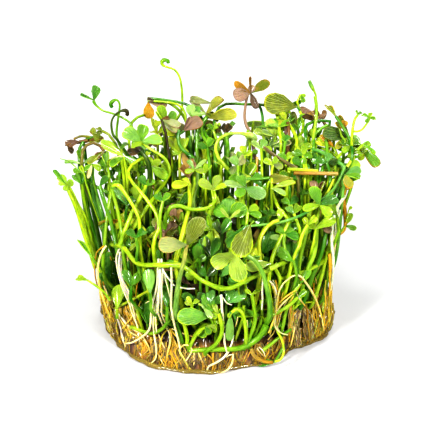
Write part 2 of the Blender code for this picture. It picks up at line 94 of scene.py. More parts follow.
# %% Place the camera
bpy.ops.object.select_all(action="DESELECT")
bpy.ops.object.camera_add(location=EYE * MM)
camera = bpy.context.object
camera.name = "camera"
camera.rotation_euler = (math.radians(90) - EYE_TILT, 0, 0)
camera.data.lens = 154
camera.data.sensor_width = 36
camera.data.clip_start = 0.01
bpy.context.scene.camera = camera
print("camera stands at", [round(value, 4) for value in camera.location])

# %% [markdown]
# ## Floor and light
#
# The clump stands on a white sheet in a light tent: white all round, with large soft lamps above, so
# the shadows are short and pale. A white world does the work of the tent, the sheet glows a little
# as on a light table, and wide area lamps give the leaves their direction and small wet glints.

# %% Lay the floor
bpy.ops.mesh.primitive_plane_add(size=3, location=(0, 0, 0))
floor = bpy.context.object
floor.name = "floor"
floor.location.z = -0.00004
paper = bpy.data.materials.new("white paper")
paper.use_nodes = True
paper_shader = paper.node_tree.nodes["Principled BSDF"]
paper_shader.inputs["Base Color"].default_value = (0.5, 0.5, 0.5, 1)
paper_shader.inputs["Emission Color"].default_value = (1, 1, 1, 1)
paper_shader.inputs["Emission Strength"].default_value = 0.17
paper_shader.inputs["Roughness"].default_value = 0.9
paper_shader.inputs["Specular IOR Level"].default_value = 0.1
floor.data.materials.append(paper)
floor.visible_glossy = False
print("floor laid:", floor.name)

# %% [markdown]
# ## Lamps
#
# Four round area lamps hang above, in front on both sides, and behind. A small lamp gives crisp
# glints and hard shadows and a large one gives soft ones, so these are of a middling size.

# %% Hang the lamps
world = bpy.data.worlds.new("light tent")
bpy.context.scene.world = world
world.use_nodes = True
world.node_tree.nodes["Background"].inputs["Color"].default_value = (1, 1, 1, 1)
world.node_tree.nodes["Background"].inputs["Strength"].default_value = 0.22

LAMPS = (
    ("top lamp", (-0.05, -0.1, 0.75), 0.18, 1.7),
    ("front left lamp", (-0.4, -0.6, 0.5), 0.17, 6.9),
    ("front right lamp", (0.42, -0.55, 0.5), 0.13, 5.0),
    ("back lamp", (0.15, 0.6, 0.5), 0.25, 2.0),
)
for lamp_name, lamp_place, lamp_size, lamp_power in LAMPS:
    bpy.ops.object.light_add(type="AREA", location=lamp_place)
    lamp = bpy.context.object
    lamp.name = lamp_name
    lamp.data.shape = "DISK"
    lamp.data.size = lamp_size
    lamp.data.energy = lamp_power
    aim = Vector((0, 0, 0.03)) - Vector(lamp_place)
    lamp.rotation_euler = aim.to_track_quat("-Z", "Y").to_euler()
bpy.context.scene.view_settings.view_transform = "Standard"
bpy.context.scene.view_settings.look = "High Contrast"
print("lamps:", len(LAMPS))

# %% [markdown]
# ## Colours of a young water plant
#
# Under a plant lamp the young stems are a loud yellow-green, older ones a deeper green, and leaves
# that once stood in the air turn olive, orange and brown. Each stem and leaflet carries its own
# colour as an attribute of its points, so one finish serves hundreds of them without any two being
# quite alike.

# %% Mix the colours
COLOURS = {
    "lime": (0.43, 0.60, 0.010),
    "yellow": (0.48, 0.56, 0.015),
    "soft lime": (0.28, 0.38, 0.04),
    "pale lime": (0.42, 0.55, 0.07),
    "green": (0.115, 0.33, 0.005),
    "fresh": (0.30, 0.48, 0.010),
    "deep": (0.032, 0.205, 0.005),
    "blue green": (0.11, 0.34, 0.06),
    "night": (0.010, 0.060, 0.003),
    "mint": (0.31, 0.47, 0.13),
    "gloss green": (0.2, 0.41, 0.07),
    "wet green": (0.12, 0.31, 0.04),
    "pale olive": (0.29, 0.31, 0.12),
    "olive": (0.21, 0.25, 0.012),
    "gold olive": (0.33, 0.31, 0.03),
    "dull olive": (0.12, 0.145, 0.006),
    "yellow rim": (0.5, 0.48, 0.02),
    "orange": (0.60, 0.26, 0.006),
    "rust": (0.32, 0.15, 0.012),
    "tan": (0.48, 0.31, 0.08),
    "pink tan": (0.4, 0.235, 0.14),
    "pink brown": (0.31, 0.185, 0.13),
    "brown": (0.20, 0.095, 0.025),
    "purple brown": (0.15, 0.08, 0.055),
    "black brown": (0.028, 0.016, 0.008),
    "cream": (0.76, 0.70, 0.34),
    "white": (0.86, 0.86, 0.62),
    "amber": (0.66, 0.33, 0.012),
    "honey": (0.74, 0.52, 0.07),
}
print("colours:", len(COLOURS))


def colour_of(name):
    """The values of a named colour. Values that are given as they are stay so."""
    return np.array(COLOURS[name] if isinstance(name, str) else name)


def mixed(first, second, share):
    return colour_of(first) * (1 - share) + colour_of(second) * share

# %% [markdown]
# ## How the finishes are mixed
#
# A small helper adds a shader node and sets its values, so that each finish below reads as a short
# recipe. The patterns follow the plant's own measures: "lay" gives the place on a leaflet, or the
# place on a stem as if the stem were pulled straight, so fibres run along it through every curl.

# %% Helpers for the finishes
def node(tree, kind, inputs=None, **settings):
    made = tree.nodes.new("ShaderNode" + kind)
    for key, value in settings.items():
        setattr(made, key, value)
    for key, value in (inputs or {}).items():
        if isinstance(value, bpy.types.NodeSocket):
            tree.links.new(value, made.inputs[key])
        else:
            made.inputs[key].default_value = value
    return made


def maths(tree, operation, first, second=0.5, third=0.5):
    return node(tree, "Math", {0: first, 1: second, 2: third}, operation=operation).outputs[0]


def times(tree, first, second):
    return maths(tree, "MULTIPLY", first, second)


def blended(tree, kind, share, first, second):
    made = node(tree, "Mix", data_type="RGBA", blend_type=kind)
    for socket, value in ((made.inputs[0], share), (made.inputs[6], first), (made.inputs[7], second)):
        if isinstance(value, bpy.types.NodeSocket):
            tree.links.new(value, socket)
        else:
            socket.default_value = value
    return made.outputs[2]


def ramp(tree, value, low, high):
    made = node(tree, "MapRange", {"Value": value, "From Min": low, "From Max": high})
    return made.outputs["Result"]


def noise(tree, place, scale, detail=2.0, **more):
    inputs = {"Vector": place, "Scale": scale, "Detail": detail, **more}
    return node(tree, "TexNoise", inputs).outputs["Fac"]


def new_finish(name, roughness, coat, depth_of_light):
    made = bpy.data.materials.new(name)
    made.use_nodes = True
    shader = made.node_tree.nodes["Principled BSDF"]
    shader.inputs["Roughness"].default_value = roughness
    shader.inputs["Coat Weight"].default_value = coat
    shader.inputs["Coat Roughness"].default_value = 0.15
    shader.inputs["Specular IOR Level"].default_value = 0.2
    shader.inputs["Subsurface Weight"].default_value = depth_of_light
    shader.inputs["Subsurface Radius"].default_value = (0.6, 1.0, 0.1)
    shader.inputs["Subsurface Scale"].default_value = 0.0008
    return made, made.node_tree, shader

# %% [markdown]
# ## Stem finish
#
# A living stalk is a bundle of fine fibres under a thin waxy skin, and it glows a little where the
# light comes from behind. Long noise along the straightened stem gives the fibres, painted paler on
# their ridges as a highlight and darker in the furrows as shade. A slower noise lets the green come
# and go, and light that enters the skin does the rest.

# %% Mix the stem finish
def stem_finish(name, roughness=0.32, coat=0.35, depth_of_light=0.25, patchy=0.6,
                furrow_shade=(0.4, 0.58, 0.4, 1)):
    made, tree, shader = new_finish(name, roughness, coat, depth_of_light)
    shade = node(tree, "Attribute", attribute_name="shade").outputs["Color"]
    lay = node(tree, "Attribute", attribute_name="lay").outputs["Vector"]
    fibre_lay = node(tree, "Mapping", {"Vector": lay, "Scale": (5.0, 5.0, 0.35)}).outputs[0]
    fibres = noise(tree, fibre_lay, 1.6, 3.0)
    patch_lay = node(tree, "Mapping", {"Vector": lay, "Scale": (0.5, 0.5, 0.22)}).outputs[0]
    patches = noise(tree, patch_lay, 1.0)
    darker = blended(tree, "MULTIPLY", 1.0, shade, (0.42, 0.55, 0.4, 1))
    paler = blended(tree, "MIX", 0.25, shade, (0.85, 0.88, 0.16, 1))
    colour = blended(tree, "MIX", ramp(tree, patches, 0.35, 0.7), darker, paler)
    colour = blended(tree, "MIX", 1 - patchy, colour, shade)
    # Painted light: the raised fibres are made paler, a painted highlight, and the furrows between them
    # darker, painted shade. The bump raises the same fibres.
    lit_fibres = blended(tree, "MULTIPLY", 1.0, shade, (1.4, 1.25, 1.5, 1))
    colour = blended(tree, "MIX", ramp(tree, fibres, 0.5, 0.78), colour, lit_fibres)
    shaded_furrows = blended(tree, "MULTIPLY", 1.0, colour, furrow_shade)
    colour = blended(tree, "MIX", ramp(tree, fibres, 0.49, 0.34), colour, shaded_furrows)
    tree.links.new(colour, shader.inputs["Base Color"])
    bump = node(tree, "Bump", {"Height": fibres, "Strength": 0.5, "Distance": 0.0003})
    tree.links.new(bump.outputs["Normal"], shader.inputs["Normal"])
    return made


FINISHES = {
    "lime_stem": stem_finish("lime stem"),
    "green_stem": stem_finish("green stem"),
    "dark_stem": stem_finish("dark stem", roughness=0.3, coat=0.4, depth_of_light=0.12),
    "brown_stem": stem_finish("brown stem", roughness=0.55, coat=0.1, depth_of_light=0.1, patchy=0.15),
    "white_root": stem_finish("white root", roughness=0.3, depth_of_light=0.5, patchy=0.1,
                              furrow_shade=(0.8, 0.72, 0.5, 1)),
    "amber_root": stem_finish("amber root", roughness=0.28, coat=0.5, depth_of_light=0.5, patchy=0.6),
}

# %% [markdown]
# ## Leaf finish
#
# A leaflet has fine veins that leave the hub like the ribs of a fan and fork on the way, no main
# rib, a rim that yellows first, and blotches where it ages. The veins are stripes over the angle
# of the fan, doubled in the outer half, and they lift the skin a little so that gloss breaks on
# them.

# %% Mix the leaf finish
def stripes(tree, value, turns, thin):
    """Light stripes over a value. The higher thin is, the finer they are."""
    wave = maths(tree, "ABSOLUTE", maths(tree, "COSINE", times(tree, value, turns)))
    return maths(tree, "POWER", wave, thin)


def leaf_finish(name, roughness=0.36, coat=0.45, depth_of_light=0.3, blotchy=0.5, vein_light=0.42):
    made, tree, shader = new_finish(name, roughness, coat, depth_of_light)
    shade = node(tree, "Attribute", attribute_name="shade").outputs["Color"]
    rim = node(tree, "Attribute", attribute_name="rim").outputs["Color"]
    lay = node(tree, "Attribute", attribute_name="lay").outputs["Vector"]
    parts = node(tree, "SeparateXYZ", {0: lay})
    around, out = parts.outputs[0], parts.outputs[1]
    fan_turn = maths(tree, "ADD", around, maths(tree, "MULTIPLY_ADD", noise(tree, lay, 3.0), 0.16, -0.08))
    inner = stripes(tree, fan_turn, 12.6, 7.0)
    outer = times(tree, stripes(tree, fan_turn, 25.2, 6.0), ramp(tree, out, 0.4, 0.6))
    veins = maths(tree, "MAXIMUM", inner, outer)
    object_place = node(tree, "TexCoord").outputs["Object"]
    blotches = noise(tree, object_place, 520.0, 4.0, Roughness=0.6)
    worn = blended(tree, "MIX", 0.55, shade, rim)
    colour = blended(tree, "MIX", times(tree, ramp(tree, blotches, 0.5, 0.72), blotchy), shade, worn)
    dim = blended(tree, "MULTIPLY", 1.0, shade, (0.6, 0.64, 0.6, 1))
    colour = blended(tree, "MIX", times(tree, ramp(tree, blotches, 0.5, 0.28), 0.6), colour, dim)
    broad = noise(tree, object_place, 170.0)
    shadowed = blended(tree, "MULTIPLY", 1.0, colour, (0.38, 0.54, 0.42, 1))
    colour = blended(tree, "MIX", times(tree, ramp(tree, broad, 0.52, 0.36), 0.75), colour, shadowed)
    light_vein = blended(tree, "MIX", 0.5, shade, (0.72, 0.84, 0.25, 1))
    colour = blended(tree, "MIX", times(tree, veins, vein_light), colour, light_vein)
    to_side = maths(tree, "POWER", maths(tree, "ABSOLUTE", around), 6.0)
    to_end = maths(tree, "POWER", out, 9.0)
    border = maths(tree, "MAXIMUM", times(tree, to_side, out), to_end)
    border = maths(tree, "ADD", border, maths(tree, "MULTIPLY_ADD", blotches, 0.5, -0.25))
    colour = blended(tree, "MIX", times(tree, ramp(tree, border, 0.5, 0.95), 0.8), colour, rim)
    tree.links.new(colour, shader.inputs["Base Color"])
    crinkles = node(tree, "TexVoronoi", {"Vector": object_place, "Scale": 1100.0}).outputs["Distance"]
    height = maths(tree, "ADD", times(tree, veins, 0.5), blotches)
    height = maths(tree, "ADD", height, times(tree, crinkles, 0.6))
    bump = node(tree, "Bump", {"Height": height, "Strength": 0.7, "Distance": 0.0003})
    tree.links.new(bump.outputs["Normal"], shader.inputs["Normal"])
    return made


FINISHES["green_leaf"] = leaf_finish("green leaf")
FINISHES["lime_leaf"] = leaf_finish("lime leaf", depth_of_light=0.45)
FINISHES["olive_leaf"] = leaf_finish("olive leaf", coat=0.2, blotchy=0.8)
FINISHES["brown_leaf"] = leaf_finish("browned leaf", roughness=0.5, coat=0.25, depth_of_light=0.15,
                                     blotchy=0.9, vein_light=0.12)
FINISHES["orange_leaf"] = leaf_finish("orange leaf", blotchy=0.9, depth_of_light=0.45)
FINISHES["small_fronds"] = leaf_finish("small leaf", roughness=0.3, coat=0.5)
print("finishes:", len(FINISHES))

# %% [markdown]
# ## One straight stem, one flat leaflet
#
# Every stalk, runner and root is the same thing in another length and curve, and every leaflet is
# the same fan in another size and fold. So one straight stem and one flat card are modelled by hand
# and copied. The copies are bent in code, because nobody could bend a thousand of them by hand.

# %% Helpers for the blanks
def pick_edges(mesh_object, axis):
    """Selects, in edit mode, the edges that run along this axis."""
    cage = bmesh.from_edit_mesh(mesh_object.data)
    for edge in cage.edges:
        way = (edge.verts[0].co - edge.verts[1].co).normalized()
        edge.select_set(abs(way[axis]) > 0.99)
    bmesh.update_edit_mesh(mesh_object.data)


def start_shaping(mesh_object):
    bpy.ops.object.mode_set(mode="EDIT")
    bpy.ops.mesh.select_mode(type="EDGE")
    bpy.ops.mesh.select_all(action="DESELECT")


def read_blank(mesh_object):
    """The points, the face corners and the corner counts of a blank, which is then thrown away."""
    mesh = mesh_object.data
    points = np.empty(len(mesh.vertices) * 3)
    mesh.vertices.foreach_get("co", points)
    corners = np.empty(len(mesh.loops), int)
    mesh.loops.foreach_get("vertex_index", corners)
    counts = np.empty(len(mesh.polygons), int)
    mesh.polygons.foreach_get("loop_total", counts)
    bpy.ops.object.delete()
    return points.reshape(-1, 3), corners, counts

# %% Make the blanks
BLANKS = {}


def straight_stem(sides, rings):
    if (sides, rings) not in BLANKS:
        bpy.ops.object.select_all(action="DESELECT")
        bpy.ops.mesh.primitive_cylinder_add(vertices=sides, radius=1, depth=rings - 1)
        stem = bpy.context.object
        start_shaping(stem)
        pick_edges(stem, 2)
        bpy.ops.mesh.subdivide(number_cuts=rings - 2)
        bpy.ops.object.mode_set(mode="OBJECT")
        points, corners, counts = read_blank(stem)
        points[:, 2] = np.round(points[:, 2] + (rings - 1) / 2)
        BLANKS[sides, rings] = points, corners, counts
    return BLANKS[sides, rings]


def flat_card(columns, rows):
    if ("card", columns, rows) not in BLANKS:
        bpy.ops.object.select_all(action="DESELECT")
        bpy.ops.mesh.primitive_cube_add(size=2)
        card = bpy.context.object
        start_shaping(card)
        pick_edges(card, 0)
        bpy.ops.mesh.subdivide(number_cuts=columns - 1)
        bpy.ops.mesh.select_all(action="DESELECT")
        pick_edges(card, 1)
        bpy.ops.mesh.subdivide(number_cuts=rows - 1)
        bpy.ops.object.mode_set(mode="OBJECT")
        BLANKS["card", columns, rows] = read_blank(card)
    return BLANKS["card", columns, rows]


print("straight stem points:", len(straight_stem(8, 24)[0]))
print("flat card points:", len(flat_card(8, 8)[0]))

# %% [markdown]
# ## Bending the copies
#
# A stem copy is laid on its route ring by ring, and its rings stay square to the route without
# twisting. A leaflet copy is fanned out from its hub, then folded along its middle, cupped and
# drooped, and gets its thickness square to the bent surface.

# %% Smooth a route
def smooth_route(points, count):
    """Evenly spaced places on a smooth line through the points."""
    points = np.array(points, float)
    steps = np.concatenate([[0], np.cumsum(np.linalg.norm(np.diff(points, axis=0), axis=1) ** 0.5)])
    ahead = np.empty_like(points)
    ahead[1:-1] = (points[2:] - points[:-2]) / (steps[2:] - steps[:-2])[:, None]
    ahead[0] = (points[1] - points[0]) / (steps[1] - steps[0])
    ahead[-1] = (points[-1] - points[-2]) / (steps[-1] - steps[-2])
    fine = []
    for index in range(len(points) - 1):
        span = steps[index + 1] - steps[index]
        share = np.linspace(0, 1, 24)[:, None]
        square, cube = share**2, share**3
        fine.append(
            (2 * cube - 3 * square + 1) * points[index]
            + (cube - 2 * square + share) * ahead[index] * span
            + (3 * square - 2 * cube) * points[index + 1]
            + (cube - square) * ahead[index + 1] * span
        )
    fine = np.concatenate(fine)
    run = np.concatenate([[0], np.cumsum(np.linalg.norm(np.diff(fine, axis=0), axis=1))])
    wanted = np.linspace(0, run[-1], count)
    return np.stack([np.interp(wanted, run, fine[:, axis]) for axis in range(3)], axis=1)


def ring_frames(route):
    """Two directions square to the route at each place, carried along it without twist."""
    ahead = np.gradient(route, axis=0)
    ahead /= np.linalg.norm(ahead, axis=1)[:, None] + 1e-12
    side = np.cross(ahead[0], (0.31, 0.77, 0.55))
    sides = []
    for way in ahead:
        side = side - way * side.dot(way)
        side = side / (np.linalg.norm(side) + 1e-12)
        sides.append(side)
    sides = np.array(sides)
    return sides, np.cross(ahead, sides)

# %% Gather copies into one piece
class Sheaf:
    """Copies that become one piece: their points, faces, colours and lay are gathered, then made."""

    def __init__(self):
        self.points, self.corners, self.counts = [], [], []
        self.shades, self.rims, self.lays = [], [], []
        self.total = 0

    def take(self, points, corners, counts, shade, rim, lay):
        self.points.append(points)
        self.corners.append(corners + self.total)
        self.counts.append(counts)
        self.shades.append(np.broadcast_to(shade, points.shape))
        self.rims.append(np.broadcast_to(rim, points.shape))
        self.lays.append(lay)
        self.total += len(points)

    def make(self, name, slot, *replaced, finish_name=None, crisp=70):
        points, corners = np.concatenate(self.points) * MM, np.concatenate(self.corners)
        counts = np.concatenate(self.counts)
        mesh = bpy.data.meshes.new(name)
        mesh.vertices.add(len(points))
        mesh.vertices.foreach_set("co", points.ravel())
        mesh.loops.add(len(corners))
        mesh.loops.foreach_set("vertex_index", corners)
        mesh.polygons.add(len(counts))
        mesh.polygons.foreach_set("loop_start", np.concatenate([[0], np.cumsum(counts)[:-1]]))
        mesh.polygons.foreach_set("loop_total", counts)
        mesh.update(calc_edges=True)
        for label, values in (("shade", self.shades), ("rim", self.rims)):
            colours = np.ones((len(points), 4))
            colours[:, :3] = np.concatenate(values)
            mesh.attributes.new(label, "FLOAT_COLOR", "POINT").data.foreach_set("color", colours.ravel())
        lay = np.concatenate(self.lays)
        mesh.attributes.new("lay", "FLOAT_VECTOR", "POINT").data.foreach_set("vector", lay.ravel())
        mesh.materials.append(FINISHES[finish_name or slot])
        piece = bpy.data.objects.new(name, mesh)
        bpy.context.scene.collection.objects.link(piece)
        bpy.ops.object.select_all(action="DESELECT")
        piece.select_set(True)
        bpy.context.view_layer.objects.active = piece
        bpy.ops.object.shade_smooth_by_angle(angle=math.radians(crisp))
        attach(piece, "root")
        if replaced:
            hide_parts(*replaced)
        print(f"{name}: {int((counts - 2).sum())} triangles")
        return piece

# %% Lay a stem on its route
stem_seed = np.random.default_rng(5)


def lay_stem(sheaf, route, radii, foot, tip, sides=8, rings=24, smooth=True, late=1.0):
    """One stem on its route. Its colour runs from the foot's to the tip's, nearer the tip if late."""
    route = smooth_route(route, rings) if smooth else np.array(route)
    rings = len(route)
    points, corners, counts = straight_stem(sides, rings)
    ring = points[:, 2].astype(int)
    radii = np.interp(np.linspace(0, 1, rings), np.linspace(0, 1, len(radii)), radii)
    sides_way, other_way = ring_frames(route)
    reach = radii[ring][:, None]
    laid = route[ring] + reach * (points[:, :1] * sides_way[ring] + points[:, 1:2] * other_way[ring])
    run = np.concatenate([[0], np.cumsum(np.linalg.norm(np.diff(route, axis=0), axis=1))])
    lay = np.stack([points[:, 0] * radii[ring], points[:, 1] * radii[ring], run[ring]], axis=1)
    lay += stem_seed.uniform(0, 60, 3)
    share = (ring / (rings - 1))[:, None] ** late
    foot, tip = colour_of(foot), colour_of(tip)
    sheaf.take(laid, corners, counts, foot * (1 - share) + tip * share, tip, lay)

# %% [markdown]
# ## One leaflet
#
# A leaflet of this fern is a wedge that folds along its middle and droops towards the rim. A bend
# modifier would bend every copy alike, so each point's place is worked out from the leaflet's own
# length, width, fold and droop.

# %% Bend a leaflet
def fan(around, out, length, width, fold, droop, cup, wave, phase, corner):
    """Places on the bent leaflet: around runs from -1 to 1 across the fan, out from hub to rim."""
    spread = math.atan2(width / 2, 0.72 * length)
    uneven = 1 + 0.03 * np.sin(around * 2.5 + phase) + 0.07 * around * math.sin(phase * 3)
    reach = length * uneven * (1 - corner * np.abs(around) ** 2.8)
    across = reach * out * np.sin(around * spread) + around * 0.12 * (1 - out)
    ahead = reach * out * np.cos(around * spread)
    fold_rise = np.sqrt(across**2 + (0.06 * width) ** 2) - 0.06 * width
    height = math.sin(fold) * fold_rise
    across = math.cos(fold) * across
    height = height + cup * (across / width) ** 2 * width * 1.6
    height = height + wave * length * 0.06 * np.sin(around * 3.6 + phase) * out**2
    bend = droop * out + 1e-6
    along = ahead * np.sin(bend) / bend + height * np.sin(bend)
    above = height * np.cos(bend) - ahead * (1 - np.cos(bend)) / bend
    return np.stack([across, along, above], axis=1)

# %% Lay a leaflet and a blade
leaf_seed = np.random.default_rng(11)


def lay_leaflet(sheaf, hub, ahead, normal, shade, rim, length, width, fold=10, droop=15, cup=0.15,
                wave=0.5, corner=0.42, thick=0.24, card=(8, 8)):
    """One leaflet from its hub, pointing ahead, its upper side towards normal."""
    points, corners, counts = flat_card(*card)
    around, out, face = points[:, 0], (points[:, 1] + 1) / 2, points[:, 2]
    phase = leaf_seed.uniform(0, 6.3)
    form = (length, width, math.radians(fold), math.radians(droop), cup, wave, phase, corner)
    middle = fan(around, out, *form)
    step = 1e-3
    sideways = fan(around + step, out, *form) - fan(around - step, out, *form)
    onwards = fan(around, out + step, *form) - fan(around, np.maximum(out - step, 0), *form)
    skin = np.cross(sideways, onwards)
    skin /= np.linalg.norm(skin, axis=1)[:, None] + 1e-12
    local = middle + skin * (face * thick / 2)[:, None]
    ahead, normal = np.array(ahead, float), np.array(normal, float)
    ahead /= np.linalg.norm(ahead)
    normal = normal - ahead * normal.dot(ahead)
    normal /= np.linalg.norm(normal)
    across = np.cross(ahead, normal)
    laid = hub + local[:, :1] * across + local[:, 1:2] * ahead + local[:, 2:] * normal
    shade, rim = colour_of(shade), colour_of(rim)
    vary = 1 + leaf_seed.uniform(-0.12, 0.12)
    lay = np.stack([around, out, np.full(len(out), leaf_seed.uniform(0, 50))], axis=1)
    sheaf.take(laid, corners, counts, shade * vary, rim * vary, lay)


def lay_blade(sheaf, hub, facing, leaflets, lift=12, card=(8, 8), **form):
    """The leaflets of one frond: each is turn, length, width, shade, rim and, if given, a fold."""
    normal = np.array(facing, float)
    normal /= np.linalg.norm(normal)
    right = np.array((1.0, 0, 0)) - normal * normal[0]
    right /= np.linalg.norm(right)
    other = np.cross(normal, right)
    rise = math.radians(lift)
    for turn, length, width, shade, rim, *fold in leaflets:
        angle = math.radians(turn)
        way = right * math.cos(angle) + other * math.sin(angle)
        ahead = way * math.cos(rise) + normal * math.sin(rise)
        upper = normal * math.cos(rise) - way * math.sin(rise)
        own = dict(form, fold=fold[0]) if fold else form
        lay_leaflet(sheaf, hub, ahead, upper, shade, rim, length, width, card=card, **own)

# %% [markdown]
# ## Reading a stem back from the model
#
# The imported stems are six-sided tubes. Their middle line and thickness are read back ring by ring,
# so the dressed stem lies exactly where the model has it.

# %% Find the middle line of a packed stem
def merged_links(name):
    cage = bmesh.new()
    cage.from_mesh(cad_nodes[name].data)
    bmesh.ops.remove_doubles(cage, verts=cage.verts, dist=1e-6)
    cage.verts.ensure_lookup_table()
    places = np.array([vertex.co / MM for vertex in cage.verts])
    links = [{edge.other_vert(vertex).index for edge in vertex.link_edges} for vertex in cage.verts]
    cage.free()
    return places, links


def rings_from(places, links, start):
    nearest = np.argsort(np.linalg.norm(places - places[start], axis=1))[:6]
    rings, seen = [set(nearest.tolist())], set(nearest.tolist())
    while True:
        following = set().union(*(links[index] for index in rings[-1])) - seen
        if not following:
            return rings
        rings.append(following)
        seen |= following


def stem_line(name):
    """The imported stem's middle line from foot to tip, and its radius at each place, in millimetres."""
    places, links = merged_links(name)
    starts = [int(np.argmax(np.linalg.norm(places - places.mean(axis=0), axis=1)))]
    for _ in range(2):
        starts.append(max(rings_from(places, links, starts[-1])[-1]))
    tries = [rings_from(places, links, start) for start in starts]
    rings = min(tries, key=lambda found: sum(abs(len(ring) - 6) for ring in found))
    middle = np.array([places[list(ring)].mean(axis=0) for ring in rings])
    radius = np.array([
        np.linalg.norm(places[list(ring)] - centre, axis=1).mean() for ring, centre in zip(rings, middle)
    ])
    if middle[0][2] > middle[-1][2]:
        middle, radius = middle[::-1], radius[::-1]
    return middle, radius


stem_names = [name for name in sorted(cad_nodes) if name.startswith(("stalk", "young", "runner", "hanging"))]
STEMS = {name: stem_line(name) for name in stem_names}
print("packed stems read back:", len(STEMS))

# %% [markdown]
# ## The tall fronds
#
# These are the fronds that a passer-by would point at: the curly lime ones, the browned clover at
# the top, the open clover in front. Each row gives the frond's number, the colours of its stalk from
# foot to tip, the hub of the blade, the side it faces, how many degrees the leaflets lift, the
# finish, and the leaflets as turn, length, width, colour, rim and fold.

